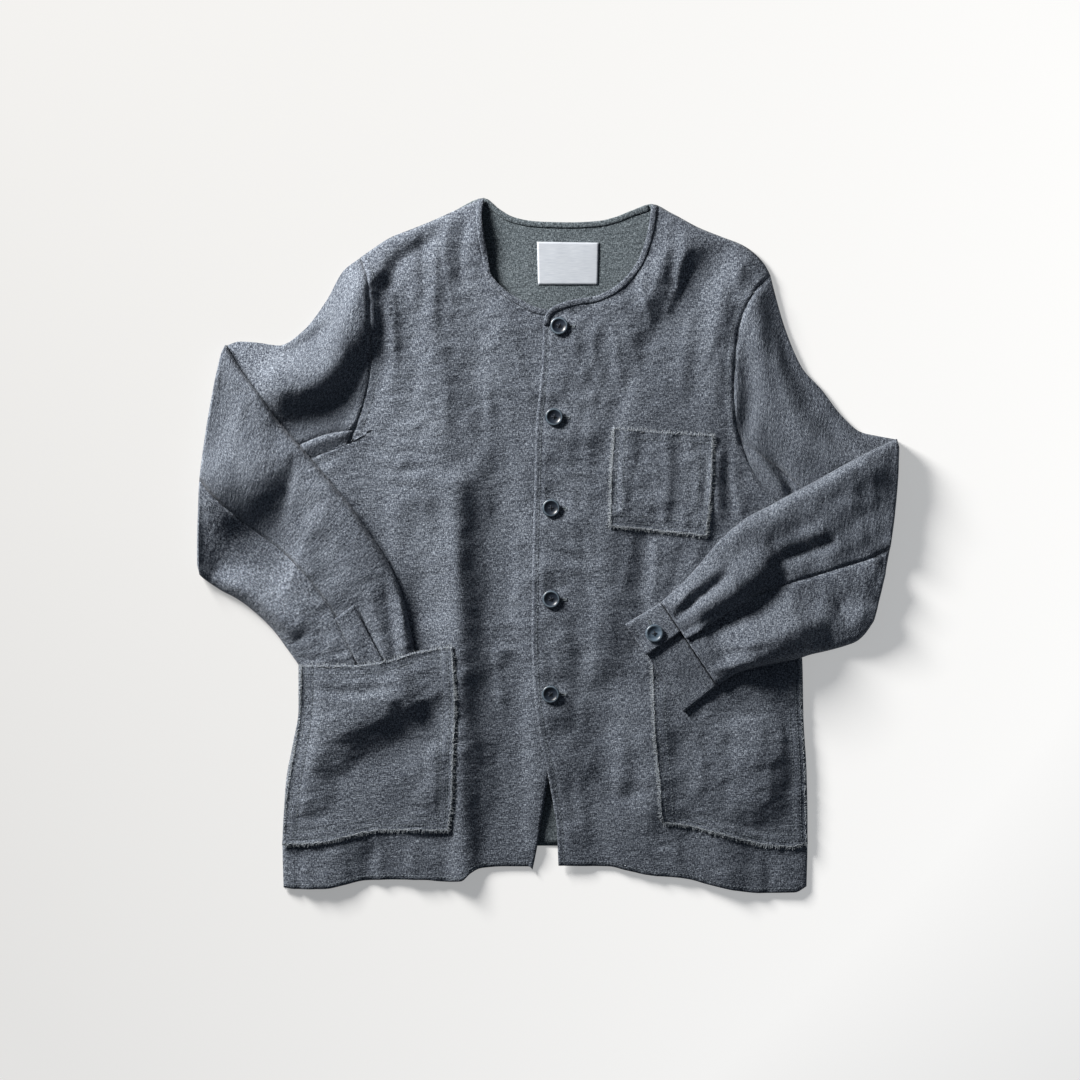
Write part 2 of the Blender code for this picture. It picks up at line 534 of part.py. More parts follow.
def make_fronts():
    rows = side_rows(14)
    inner = joined(NECK_RIGHT, FRONT_EDGE_RIGHT, NECK_END, rows)
    outer = joined(ARMHOLE_RIGHT, SIDE_RIGHT, ARMHOLE_END, rows)
    shoulder, hem = through(SHOULDER_RIGHT[::-1], FRONT_RIGHT_COLUMNS), through(HEM_RIGHT, FRONT_RIGHT_COLUMNS)
    plan = inset(patch(shoulder, hem, outer, inner), left=SEAM)
    under = envelope_under(plan)
    cloth_wall("front_right", stacked(plan, under), stacked(plan, under + wall_rise(plan, envelope_under)))
    inner = joined(NECK_LEFT, FRONT_EDGE_LEFT, NECK_END, rows)
    outer = joined(ARMHOLE_LEFT, SIDE_LEFT, ARMHOLE_END, rows)
    shoulder, hem = through(SHOULDER_LEFT, FRONT_LEFT_COLUMNS), through(HEM_LEFT, FRONT_LEFT_COLUMNS)
    plan = inset(patch(shoulder, hem, inner, outer), right=SEAM)
    under = left_under(plan)
    cloth_wall("front_left", stacked(plan, under), stacked(plan, under + wall_rise(plan, left_under)))


def section_line(row, armhole, shares, trim):
    """Plan of one section, from edge A to edge B, with trim cut off both ends."""
    _name, ax, ay, bx, by, curve, bow = row[:7]
    a, b = np.array([ax, ay], float), np.array([bx, by], float)
    width = np.linalg.norm(b - a)
    along = (b - a) / width
    shares = np.clip(shares, trim / width, 1 - trim / width)
    outwards = np.array([along[1], -along[0]]) * (1 if armhole is ARMHOLE_RIGHT else -1)
    straight = a + shares[:, None] * (b - a) + (4 * bow * shares * (1 - shares))[:, None] * outwards
    first, last = np.array(armhole[0]), np.array(armhole[-1])
    offset = through(armhole, shares) - (first + shares[:, None] * (last - first))
    return straight + curve * offset


class Sleeve:
    """One sleeve as sections round the arm: a front wall and a back wall that meet at edges A and B.
    Up to the elbow the front wall is on top. The crease turns the arm over, and the back wall is on top."""

    def __init__(self, upper, forearm, armhole, folds, over, vent):
        self.upper, self.forearm, self.armhole, self.folds, self.vent = upper, forearm, armhole, folds, vent
        self.outwards_sign = 1 if armhole is ARMHOLE_RIGHT else -1
        skin = np.stack([self.upper_faces(row, width_shares(row), "front")[1] for row in upper])
        columns = skin.shape[1]
        quads = [(i * columns + j, i * columns + j + 1, (i + 1) * columns + j + 1, (i + 1) * columns + j)
                 for i in range(len(upper) - 1) for j in range(columns - 1)]
        upper_arm = BVHTree.FromPolygons([tuple(p) for p in skin.reshape(-1, 3)], quads)
        plan = np.stack([section_line(row, armhole, width_shares(row), 0) for row in forearm])
        self.base = draped(plan, on(*over) + [upper_arm], 8, first=skin[-1, :, 2] + 2 * FOLD_RADIUS)

    def upper_faces(self, row, shares, wall):
        """Inner and outer points of one wall of an upper arm's section."""
        outer, inner = (section_line(row, self.armhole, shares, trim) for trim in (0, CLOTH))
        if wall == "back":
            return stacked(inner, CLOTH), stacked(outer, 0.0)
        return (stacked(inner, envelope_under(inner)),
                stacked(outer, envelope_under(outer) + wall_rise(outer, envelope_under)))

    def forearm_faces(self, number, shares, wall):
        """Inner and outer points of one wall of a forearm's section."""
        row = self.forearm[number]
        width = math.dist(row[1:3], row[3:5])
        faces = []
        for trim, front_z, back_z in ((CLOTH, CLOTH, CLOTH), (0.0, 0.0, 2 * CLOTH)):
            kept = np.clip(shares, trim / width, 1 - trim / width)
            plan = section_line(row, self.armhole, kept, 0)
            base = np.interp(kept, width_shares(row), self.base[number])
            away = np.minimum(shares, 1 - shares) * width
            height = row[9] * rise(away, FOREARM_ROLL) + fold_height(plan, self.folds) * np.clip(away / 14.0, 0, 1)
            gap = 2 * SEAM + np.maximum(height, 0)
            faces.append(stacked(plan, base + front_z if wall == "front" else base + back_z + gap))
        return faces

    def faces(self, number, shares, wall):
        """Inner and outer points of one wall of any section, those round the crease included."""
        shares = np.atleast_1d(shares)
        past = number - (len(self.upper) - 1)
        if past <= 0:
            return self.upper_faces(self.upper[number], shares, wall)
        if past >= CREASE_STEPS:
            return self.forearm_faces(past - CREASE_STEPS, shares, wall)
        angle = math.pi * past / CREASE_STEPS
        along = np.array(self.upper[-1][3:5], float) - np.array(self.upper[-1][1:3], float)
        along /= np.linalg.norm(along)
        outwards = np.array([along[1], -along[0], 0]) * self.outwards_sign
        swing = math.sin(angle) * outwards - math.cos(angle) * np.array([0, 0, 1])
        lows, highs = self.upper_faces(self.upper[-1], shares, wall), self.forearm_faces(0, shares, wall)
        return [(low + high) / 2 + ((high - low)[:, 2:] / 2) * swing for low, high in zip(lows, highs)]

    def row_of(self, number):
        past = number - (len(self.upper) - 1) - CREASE_STEPS
        return self.forearm[max(past, 0)] if past > -CREASE_STEPS else self.upper[number]

    def strip(self, number, runs):
        """A section's points along some runs of shares, on one wall or at the edge between the walls."""
        inner, outer = [], []
        for shares, wall, lift in runs:
            if wall == "edge":
                pair = zip(self.faces(number, shares, "front"), self.faces(number, shares, "back"))
                made = [(front + back) / 2 for front, back in pair]
            else:
                made = self.faces(number, shares, wall)
            for points, kept in zip(made, (inner, outer)):
                kept.append(points + np.outer(np.broadcast_to(lift, len(points)), (0, 0, 1)))
        return np.concatenate(inner), np.concatenate(outer)

    def make(self, name):
        back_at, front_at = SLEEVE_COLUMNS[0], SLEEVE_COLUMNS[0] + SLEEVE_COLUMNS[1]
        top, under = [], []
        for number in range(len(self.upper) + CREASE_STEPS + len(self.forearm) - 1):
            row = self.row_of(number)
            width = math.dist(row[1:3], row[3:5])
            shares = width_shares(row)
            back_first, back_rest = shares[: back_at + 1].copy(), shares[back_at:].copy()
            front_first, front_rest = shares[: front_at + 1].copy(), shares[front_at:].copy()
            lift, overlap = self.vent.get(row[0], (0.0, -SEAM))
            back_first *= (back_first[-1] + overlap / width) / back_first[-1]
            back_rest[0] += SEAM / width
            front_first[-1] -= SEAM / width
            front_rest[0] += SEAM / width
            lifts = lift * (back_first / back_first[-1]) ** 2
            top.append(self.strip(number, [(back_first[:0:-1], "back", lifts[:0:-1]), (0.0, "edge", 0),
                                           (front_first[1:], "front", 0)]))
            under.append(self.strip(number, [(front_rest[:-1], "front", 0), (1.0, "edge", 0),
                                             (back_rest[-2::-1], "back", 0)]))
        for strips, part in ((top, "top"), (under, "under")):
            inner, outer = (np.stack(faces) for faces in zip(*strips))
            shift = inner[1] - inner[0]
            step = SEAM * shift / np.linalg.norm(shift, axis=1)[:, None]
            inner[0] += step
            outer[0] += step
            cloth_wall(f"sleeve_{name}_{part}", inner, outer)


def make_cuff(name, table, over, lift):
    """A cuff: a band that goes from its buttoned end over edge A, underneath, round edge B and back on
    top to the end under the button."""
    half = FOLDED_CLOTH
    depths = np.linspace(0, 1, 5)
    start, end = np.array(table[0], float), np.array(table[1], float)
    rows = [("cuff", *(start + depth * (end - start)), 0.0, 0) for depth in depths]
    spans = np.linspace(0, 1, 9)
    base = draped(np.stack([section_line(row, ARMHOLE_LEFT, spans, 0) for row in rows]), on(*over), 3)
    inner, outer = [], []
    for row, line in zip(rows, base):
        ring = []
        for share in np.linspace(CUFF_TAB, 0, 5)[:-1]:
            stand = half + CUFF_INSIDE + half + SEAM + lift * (share / CUFF_TAB) ** 0.6
            ring.append((share, stand, stand + half))
        ring.append((0.0, half + CUFF_INSIDE / 2, half + CUFF_INSIDE / 2))
        for share in CUFF_BELOW:
            ring.append((share, half, 0.0))
        ring.append((1.0, half + CUFF_INSIDE / 2, half + CUFF_INSIDE / 2))
        for share in np.linspace(0.97, CUFF_UNDERLAP, 7):
            stand = half + CUFF_INSIDE
            ring.append((share, stand, stand + half))
        shares = np.array([share for share, _i, _o in ring])
        floor = np.interp(shares, spans, line)
        inner.append(stacked(section_line(row, ARMHOLE_LEFT, shares, half), floor + [i for _s, i, _o in ring]))
        outer.append(stacked(section_line(row, ARMHOLE_LEFT, shares, 0), floor + [o for _s, _i, o in ring]))
    cloth_wall(name, np.stack(inner), np.stack(outer))


def four_edges(edges, rows, columns):
    t, s = np.linspace(0, 1, rows + 1), np.linspace(0, 1, columns + 1)
    return patch(through(edges["top"], s), through(edges["bottom"], s), through(edges["left"], t), through(edges["right"], t))


def make_binding(name, neckline, shares, turn, over, **look):
    """A narrow strip along a neckline, on the panel's side of it: turn is 1 to the right, -1 to the left."""
    edge = through(neckline, shares)
    along = np.gradient(edge, axis=0)
    along /= np.linalg.norm(along, axis=1)[:, None]
    inwards = turn * np.stack([along[:, 1], -along[:, 0]], axis=1)
    plan = edge[:, None] + np.linspace(0, BINDING_WIDTH, 3)[None, :, None] * inwards[:, None]
    lay(name, plan, BINDING_CLOTH, over, 0, **look)


def make_button(name, place, over):
    """A dished button with a round rim, turned about its own axis."""
    x, y = place
    seat = max(float(top_of(on(*over), np.array([[x, y]], float), reach)[0]) for reach in BUTTON_FEEL) + SEAM
    profile = [
        (0, BUTTON_HEIGHT - BUTTON_DISH),
        (BUTTON_RADIUS - 2 * BUTTON_RIM, BUTTON_HEIGHT - BUTTON_DISH),
        (BUTTON_RADIUS - BUTTON_RIM, BUTTON_HEIGHT),
        (BUTTON_RADIUS - 0.4 * BUTTON_RIM, BUTTON_HEIGHT - 0.3),
        (BUTTON_RADIUS, BUTTON_HEIGHT - BUTTON_RIM),
        (BUTTON_RADIUS - BUTTON_RIM, 0),
        (0, 0),
    ]
    bm = bmesh.new()
    verts = [bm.verts.new((r * MM, 0, z * MM)) for r, z in profile]
    for a, b in zip(verts, verts[1:]):
        bm.edges.new((a, b))
    mesh = bpy.data.meshes.new(name)
    bm.to_mesh(mesh)
    bm.free()
    obj = add_object(name, mesh, HORN, "horn", 0.25)
    obj.location = (x * MM, y * MM, seat * MM)
    screw = obj.modifiers.new("turned", "SCREW")
    screw.steps = screw.render_steps = BUTTON_STEPS
    screw.use_merge_vertices = True
    screw.merge_threshold = 0.00001
    screw.use_normal_calculate = True
    points, faces = [], []
    for step in range(BUTTON_STEPS):
        angle = 2 * math.pi * step / BUTTON_STEPS
        points.append((x + BUTTON_RADIUS * math.cos(angle), y + BUTTON_RADIUS * math.sin(angle), seat + BUTTON_HEIGHT))
    faces.append(tuple(range(BUTTON_STEPS)))
    pile[name] = BVHTree.FromPolygons(points, faces)


for old in list(bpy.data.objects):
    bpy.data.objects.remove(old)
garment = bpy.data.collections.new("linen_jacket")
bpy.context.scene.collection.children.link(garment)
pile = {}

make_back()
make_fronts()
lay("chest_pocket", four_edges(CHEST_POCKET, 6, 6), CLOTH, ["front_left"])
lay("hip_pocket_left", four_edges(HIP_POCKET_LEFT, 10, 9), CLOTH, ["front_left"])

right_sleeve = Sleeve(UPPER_ARM_RIGHT, FOREARM_RIGHT, ARMHOLE_RIGHT, FOREARM_FOLDS_RIGHT, ["front_right"], {})
right_sleeve.make("right")
make_cuff("cuff_right", CUFF_RIGHT, ["front_right"], 0.3)
make_button("cuff_button_right", CUFF_BUTTON_RIGHT, ["cuff_right"])
lay("sleeve_placket_right", four_edges(PLACKET_RIGHT, 6, 3), CLOTH, ["sleeve_right_top", "sleeve_right_under"])
TUCKED = ["sleeve_right_top", "sleeve_right_under", "cuff_right", "cuff_button_right", "sleeve_placket_right"]
lay("hip_pocket_right", four_edges(HIP_POCKET_RIGHT, 13, 12), CLOTH, ["back", "front_right", *TUCKED], smooth=5)

left_sleeve = Sleeve(UPPER_ARM_LEFT, FOREARM_LEFT, ARMHOLE_LEFT, FOREARM_FOLDS_LEFT,
                     ["front_left", "hip_pocket_left", "chest_pocket"], VENT_LEFT)
left_sleeve.make("left")
make_cuff("cuff_left", CUFF_LEFT, ["front_left", "hip_pocket_left"], CUFF_LIFT)
make_button("cuff_button_left", CUFF_BUTTON_LEFT, ["cuff_left"])

lay("neck_label", four_edges(LABEL, 2, 2), LABEL_CLOTH, ["back"], colour=LABEL_WHITE, material="label", roughness=0.7)
make_binding("neck_binding_right", NECK_RIGHT, np.linspace(0.03, 0.8, 12), 1, ["back", "front_right"])
make_binding("neck_binding_left", NECK_LEFT + FRONT_EDGE_LEFT[1:3], np.linspace(0.03, 1, 16), -1, ["back", "front_left"])
make_binding("neck_binding_back", NECK_BACK, np.linspace(0.03, 0.97, 12), 1, ["back"],
             colour=LINEN_INSIDE, material="linen_inside")
for number, place in enumerate(FRONT_BUTTONS, 1):
    make_button(f"front_button_{number}", place, ["front_left", "front_right"])
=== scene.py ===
# %% [markdown]
# # A linen jacket laid flat
# The jacket is a collarless one in heavy blue grey linen, shown from straight above. The packed
# solids give every piece its size and place. This lesson lays finer cloth over them: each panel is
# a grid of points that follows the same plan as its solid, raised into the creases that linen keeps
# after it has been worn and folded. Plans are in millimetres, x to the wearer's left, y to the neck.

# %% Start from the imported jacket
import math

import bmesh
import bpy
import numpy as np
from mathutils import Matrix, Vector
from mathutils.bvhtree import BVHTree


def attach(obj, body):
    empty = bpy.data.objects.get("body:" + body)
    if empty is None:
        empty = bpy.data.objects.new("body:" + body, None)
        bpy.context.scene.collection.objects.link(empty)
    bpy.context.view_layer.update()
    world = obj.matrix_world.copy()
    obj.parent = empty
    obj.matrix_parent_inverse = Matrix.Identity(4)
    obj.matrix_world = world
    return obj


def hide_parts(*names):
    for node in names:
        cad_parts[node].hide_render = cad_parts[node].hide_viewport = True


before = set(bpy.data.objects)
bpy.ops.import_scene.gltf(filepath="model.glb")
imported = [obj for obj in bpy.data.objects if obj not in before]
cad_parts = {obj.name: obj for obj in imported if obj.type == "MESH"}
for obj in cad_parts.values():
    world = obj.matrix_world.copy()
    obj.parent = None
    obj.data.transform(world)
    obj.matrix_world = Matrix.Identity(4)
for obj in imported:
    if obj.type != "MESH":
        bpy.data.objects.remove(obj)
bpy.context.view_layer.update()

MM = 0.001

# %% [markdown]
# ## The camera
# The photograph looks straight down from high up, with a little over a metre in view. A long lens
# keeps the sleeves, which lie highest, at the same scale as the hem.

# %% Camera
VIEW_WIDTH, VIEW_CENTRE, PILE_MIDDLE = 1.08, (-0.004, 0.005), 0.008
LENS, SENSOR = 85.0, 36.0
camera_data = bpy.data.cameras.new("camera")
camera_data.lens, camera_data.sensor_width = LENS, SENSOR
camera = bpy.data.objects.new("camera", camera_data)
bpy.context.scene.collection.objects.link(camera)
camera.location = (*VIEW_CENTRE, VIEW_WIDTH * LENS / SENSOR + PILE_MIDDLE)
bpy.context.scene.camera = camera
print("camera height:", round(camera.location.z, 3))

# %% [markdown]
# ## Lines and grids
# A pattern cutter draws a panel from a few points on each edge and a smooth line through them.
# These helpers do the same: `through` draws the line, and `patch` fills four edges with rows and
# columns, so that every piece starts as a plain rectangle of cloth.

# %% Smooth lines and patches
def through(table, shares):
    """Points on a smooth line through the table's rows, at shares of its length, with no overshoot."""
    points = np.array(table, float)
    steps = np.maximum(np.linalg.norm(np.diff(points, axis=0), axis=1), 1e-6)
    knots = np.concatenate([[0], np.cumsum(steps)]) / steps.sum()
    secants = np.diff(points, axis=0) / np.diff(knots)[:, None]
    slopes = np.zeros_like(points)
    before, after = secants[:-1], secants[1:]
    same_way = before * after > 0
    slopes[1:-1][same_way] = (2 * before * after)[same_way] / (before + after)[same_way]
    slopes[0], slopes[-1] = secants[0], secants[-1]
    at = np.clip(np.asarray(shares, float), 0, 1)
    i = np.clip(np.searchsorted(knots, at, side="right") - 1, 0, len(knots) - 2)
    span = (knots[i + 1] - knots[i])[:, None]
    u = (at[:, None] - knots[i][:, None]) / span
    return ((2 * u**3 - 3 * u**2 + 1) * points[i] + (u**3 - 2 * u**2 + u) * span * slopes[i]
            + (3 * u**2 - 2 * u**3) * points[i + 1] + (u**3 - u**2) * span * slopes[i + 1])


def joined(first, second, split, shares):
    """Points on two lines that follow on, the first up to the share split and the second after it."""
    shares = np.asarray(shares, float)
    early = through(first, np.minimum(shares / split, 1))
    late = through(second, np.maximum((shares - split) / (1 - split), 0))
    return np.where((shares <= split)[:, None], early, late)


def patch(top, bottom, left, right):
    """A plan of rows and columns that fills four edges."""
    t = np.linspace(0, 1, len(left))[:, None, None]
    s = np.linspace(0, 1, len(top))[None, :, None]
    across = (1 - s) * left[:, None] + s * right[:, None]
    down = (1 - t) * top[None] + t * bottom[None]
    corners = (1 - t) * ((1 - s) * left[0] + s * right[0]) + t * ((1 - s) * left[-1] + s * right[-1])
    return across + down - corners


def stacked(plan, height):
    """The plan's points at these heights."""
    return np.concatenate([plan, np.broadcast_to(height, plan.shape[:-1])[..., None]], axis=-1)


def resampled(line, step):
    """The line's points again, one every step."""
    line = np.array(line, float)
    run = np.concatenate([[0], np.cumsum(np.linalg.norm(np.diff(line, axis=0), axis=1))])
    at = np.linspace(0, run[-1], max(int(run[-1] / step), 2))
    return np.stack([np.interp(at, run, line[:, k]) for k in range(line.shape[1])], axis=1)


def beside(line, distance):
    """A line at that distance to the left of this one, looking along it."""
    along = np.gradient(line, axis=0)
    along /= np.linalg.norm(along, axis=1)[:, None]
    return line + distance * np.stack([-along[:, 1], along[:, 0]], axis=1)


print("a quarter of the way along a bent line:", through([(0, 0), (10, 0), (10, 10)], [0.25])[0])

# %% [markdown]
# ## The jacket's plan
# These are the edges of the cut pieces as they lie, the same as those of the solids. Each one runs
# from the neck or the armpit towards the hem.

# %% Edges of the panels
SHOULDER_RIGHT = [
    (-60, 348), (-94, 333), (-114, 324), (-134, 316), (-154, 308), (-174, 295), (-184, 288),
]
SHOULDER_LEFT = [
    (108, 342), (129, 332), (155, 318), (180, 308), (198, 301), (211, 292), (221, 281), (227, 270),
]
ARMHOLE_RIGHT = [
    (-184, 288), (-176, 265), (-173, 240), (-172.5, 210), (-173, 183), (-177, 155), (-185, 127),
    (-194, 103),
]
ARMHOLE_LEFT = [
    (227, 270), (212, 255), (200, 234), (194, 211), (191.5, 186), (190, 160), (191, 133), (194, 115),
    (199, 99),
]
SIDE_RIGHT = [
    (-194, 103), (-209, 97.5), (-225, 92), (-244, 82), (-252, 62), (-252, 20), (-250, -60),
    (-246, -119), (-246, -165), (-252, -201), (-258, -233), (-260, -257), (-262, -300), (-261, -343),
]
SIDE_LEFT = [
    (199, 99), (207, 78.5), (219.5, 59), (237, 43), (248, 20), (246, -20), (252, -60), (259, -120),
    (260, -174), (263, -225), (264, -275), (264, -298), (263, -342),
]
NECK_RIGHT = [
    (-60, 348), (-62, 329), (-60, 310), (-56, 290), (-53, 272), (-45, 261), (-33, 251), (-20, 244),
    (-8, 238), (5, 235), (16, 231), (23, 223),
]
NECK_LEFT = [
    (108, 342), (106, 326), (101, 303), (94, 285), (81, 267), (67, 256), (51, 249), (33, 246),
    (17, 242), (6, 236),
]
NECK_BACK = [
    (-60, 348), (-45, 337), (-31, 329), (-13, 325), (1, 324), (28, 323.5), (55, 325), (72, 329),
    (87, 335), (108, 342),
]
FRONT_EDGE_RIGHT = [
    (23, 223), (26, 200), (26, 145), (25, 45), (23, -55), (20, -135), (14, -195), (5, -230),
    (1.5, -250), (-3, -277), (-7, -303), (-11.5, -325),
]
FRONT_EDGE_LEFT = [
    (6, 236), (1, 229), (-0.5, 220), (-2, 185), (-5, 150), (-8, 120), (-9, 85), (-10, 50), (-11.5, 0),
    (-12, -55), (-12.5, -95), (-11.5, -128), (-8, -167), (-3, -199), (2.5, -221), (6, -241), (10, -264),
    (13, -286), (14.5, -321),
]
HEM_RIGHT = [
    (-261, -343), (-248, -344.5), (-219, -344), (-199, -340), (-180, -336), (-151, -335), (-122, -335),
    (-97, -337), (-83, -336), (-73, -328), (-63, -323.5), (-39, -322), (-15, -322), (-11.5, -325),
]
HEM_LEFT = [
    (14.5, -321), (40, -321.5), (65, -322), (83, -326), (108, -331), (139, -333.5), (167, -340.5),
    (193, -346), (218, -348.5), (251, -348), (263, -342),
]
HEM_BACK = [
    (-261, -343), (-200, -322), (-100, -305), (0, -301.5), (100, -305), (200, -322), (263, -342),
]
ARM_TOP_RIGHT = [
    (-201, 275), (-209, 260), (-218, 245), (-241, 215), (-254, 206), (-272, 197), (-286, 202),
    (-302, 204), (-318, 200),
]
ARM_UNDER_RIGHT = [(-344, -30), (-322, 5), (-297, 35), (-272, 58), (-248, 78), (-225, 90), (-209, 96)]
ARM_TOP_LEFT = [
    (231, 255), (241, 217), (259, 176), (277, 157), (297, 130), (318, 112), (335, 109), (353, 106),
]
ARM_UNDER_LEFT = [
    (322, -85), (308, -60), (292, -34), (272, -6), (252, 22), (234, 42), (218, 58), (206, 78),
]
PAST_ELBOW_RIGHT, PAST_ELBOW_LEFT = [(-377, 162), (-403, -68)], [(404, 54), (374, -134)]
PAST_HEM, PAST_NECK = [(-262, -430), (265, -430)], [(108, 410), (-60, 410)]
ENVELOPE = np.array(
    SHOULDER_RIGHT + ARM_TOP_RIGHT + PAST_ELBOW_RIGHT + ARM_UNDER_RIGHT + SIDE_RIGHT + PAST_HEM
    + SIDE_LEFT[::-1] + ARM_UNDER_LEFT[::-1] + PAST_ELBOW_LEFT[::-1] + ARM_TOP_LEFT[::-1]
    + SHOULDER_LEFT[::-1] + PAST_NECK, float)
print("corners of the outline:", len(ENVELOPE))

# %% [markdown]
# ## Creases
# Linen hardly stretches, so it falls into long soft folds with smaller, sharper ones where it was
# pressed together. Each fold here is a line with a half width and a height, above or below the cloth
# around it, and it fades at its ends. They are placed one by one where the jacket has them, because
# noise alone looks like a rough surface and never like cloth.

# %% Distances and folds
def nearest(points, line):
    """How far each point is from a line of points, and at what share of the line."""
    line = np.array(line, float)
    start, run = line[:-1], np.diff(line, axis=0)
    length = np.linalg.norm(run, axis=1)
    passed = np.concatenate([[0], np.cumsum(length)])
    away = points[:, None] - start[None]
    share = np.clip((away * run).sum(2) / np.maximum((run * run).sum(1), 1e-9), 0, 1)
    distances = np.linalg.norm(away - share[:, :, None] * run, axis=2)
    best = distances.argmin(axis=1)
    rows = np.arange(len(points))
    return distances[rows, best], (passed[best] + share[rows, best] * length[best]) / passed[-1]


def is_inside(points, outline):
    """Whether each point is inside a closed outline, by counting the edges to its right."""
    start, end = outline, np.roll(outline, -1, axis=0)
    x, y = points[:, :1], points[:, 1:]
    spans = (start[:, 1] > y) != (end[:, 1] > y)
    rise_y = np.where(end[:, 1] == start[:, 1], 1.0, end[:, 1] - start[:, 1])
    crossing = start[:, 0] + (y - start[:, 1]) * (end[:, 0] - start[:, 0]) / rise_y
    return (spans & (x < crossing)).sum(axis=1) % 2 == 1


def fold_height(plan, folds, fade=True):
    """Sum of the folds over a plan: each is half width, height, then x and y of each point of its line."""
    points = plan.reshape(-1, 2)
    total = np.zeros(len(points))
    for half_width, height, *numbers in folds:
        line = np.reshape(numbers, (-1, 2))
        away, share = nearest(points, through(line, np.linspace(0, 1, 4 * len(line))))
        ends = 1 - (2 * share - 1) ** 4 if fade else 1
        total += height * ends * np.exp(-((away / half_width) ** 2))
    return total.reshape(plan.shape[:-1])


def rise(distance, width):
    """A quarter round: 0 at the edge and 1 from that width inwards, upright at the edge."""
    return np.sqrt(1 - (1 - np.clip(distance / width, 0, 1)) ** 2)


def floored(height):
    """Height kept above zero, with a soft turn where it lands."""
    return (height + np.sqrt(height * height + 1.5)) / 2


ridge = fold_height(np.array([[(0.0, 5.0)]]), [(5, 10.0, 0, 0, 0, 10)])
print("height at the middle of a fold of 10 mm:", ridge[0, 0].round(2))

# %% [markdown]
# ## Fine creasing
# Between the folds, linen is never smooth. `crumple` adds soft ridges of several sizes,
# and `puckers` adds the finest ones, which lie across the warp.

# %% Fine creasing
def soft_noise(plan, size, seed, turn=0.0, stretch=1.0):
    """Smooth noise from -1 to 1, with lumps of that size, turned and stretched."""
    c, s = math.cos(turn), math.sin(turn)
    x = (plan[..., 0] * c + plan[..., 1] * s) / (size * stretch)
    y = (plan[..., 1] * c - plan[..., 0] * s) / size
    i, j = np.floor(x), np.floor(y)
    u, v = x - i, y - j
    u, v = u * u * u * (u * (6 * u - 15) + 10), v * v * v * (v * (6 * v - 15) + 10)

    def corner(a, b):
        value = np.sin((i + a) * 127.1 + (j + b) * 311.7 + seed * 74.7) * 43758.5453
        return 2 * (value - np.floor(value)) - 1

    low = corner(0, 0) * (1 - u) + corner(1, 0) * u
    high = corner(0, 1) * (1 - u) + corner(1, 1) * u
    return low * (1 - v) + high * v


# Size of the lumps in millimetres, amount, turn and stretch.
CRUMPLE_LUMPS = [(62, 0.45, 0.4, 1.5), (34, 0.38, 1.35, 1.7), (19, 0.34, 1.75, 2.0), (11, 0.23, 0.2, 1.8),
                 (6.5, 0.12, 1.5, 1.8)]


def crumple(plan, seed):
    """The small uneven creasing of linen: soft ridges of several sizes, mostly along the warp."""
    total = 0
    for size, amount, turn, stretch in CRUMPLE_LUMPS:
        total = total + amount * (1 - 2.2 * np.abs(soft_noise(plan, size, seed + size, turn, stretch)))
    return total


def puckers(plan, seed):
    """Fine short ridges across the warp, which linen shows where it has dried without ironing."""
    fine = soft_noise(plan, 3.4, seed, 0.1, 3.2) + 0.6 * soft_noise(plan, 2.4, seed + 3, -0.15, 2.4)
    where = np.clip(0.5 + 0.9 * soft_noise(plan, 46, seed + 5, 0.7), 0.15, 1)
    return 0.42 * fine * where


print("crumpling at one spot:", crumple(np.array([[(10.0, 20.0)]]), 3)[0, 0].round(3))

# %% [markdown]
# ## The height of the lower layer
# The fronts and the upper arms are one layer over the back. It starts on the surface at the outline,
# rises in a quarter round because the cloth can't be pressed quite flat at a seam, and carries the
# folds. The large folds are those of the solids; the smaller ones are only here.

# %% Folds of the lower layer
LARGE_FOLDS = [
    (13, 6.8, -88, 60, -85, -60, -82, -180, -78, -340),
    (25, -6.5, -50, 10, -43, -80, -35, -200, -32, -340), (44, 4.5, -108, 50, -102, -60, -98, -220),
    (20, -6.5, -192, 86, -166, 32, -140, -18, -118, -64), (12, 3.5, -68, 338, -66, 306),
    (9, -5.0, -112, 310, -128, 296, -146, 284, -158, 262), (9, 4.0, -92, 330, -112, 326, -140, 308),
    (24, 17.0, -183, 270, -187, 228, -199, 190, -224, 167, -262, 158),
    (20, -12.0, -183, 180, -191, 152, -210, 132, -236, 117, -258, 106), (12, 4.0, -270, 180, -296, 190),
    (7, 5.0, -186, 146, -190, 126), (8, 9.0, -200, 110, -222, 105, -250, 92),
    (6, -9.0, -194, 103, -209, 91, -232, 79), (20, 2.6, -120, 250, -108, 150, -112, 60),
    (16, -2.4, -70, 240, -62, 140, -30, 20), (17, -6.0, 184, 304, 160, 272, 126, 224),
    (16, 4.5, 152, 320, 134, 292, 108, 250), (13, 4.5, 202, 288, 190, 258, 180, 220),
    (10, -2.0, 110, 210, 84, 160, 60, 90), (15, 8.0, 212, 246, 222, 196, 244, 134, 286, 88, 330, 76),
    (12, -5.0, 236, 226, 250, 190, 268, 150), (8, -6.0, 202, 178, 206, 148, 204, 120),
    (7, 9.0, 207, 92, 221, 75, 237, 54), (5, -8.0, 207, 106, 228, 89, 241, 70, 246, 54),
    (15, -7.0, 206, 66, 222, 44, 238, 28), (4, -6.0, 203, 136, 198, 102),
    (16, 3.0, 60, 10, 66, -60, 62, -110), (11, -2.6, 100, 10, 100, -60, 98, -100),
    (17, -3.5, 58, -150, 60, -220, 56, -330), (20, 4.5, 104, -170, 110, -220, 106, -262),
    (16, 4.0, 178, -290, 186, -352), (18, 4.0, -206, -290, -214, -352),
    (14, 2.6, -14, -40, -10, -160, -12, -300),
]
print("large folds:", len(LARGE_FOLDS))

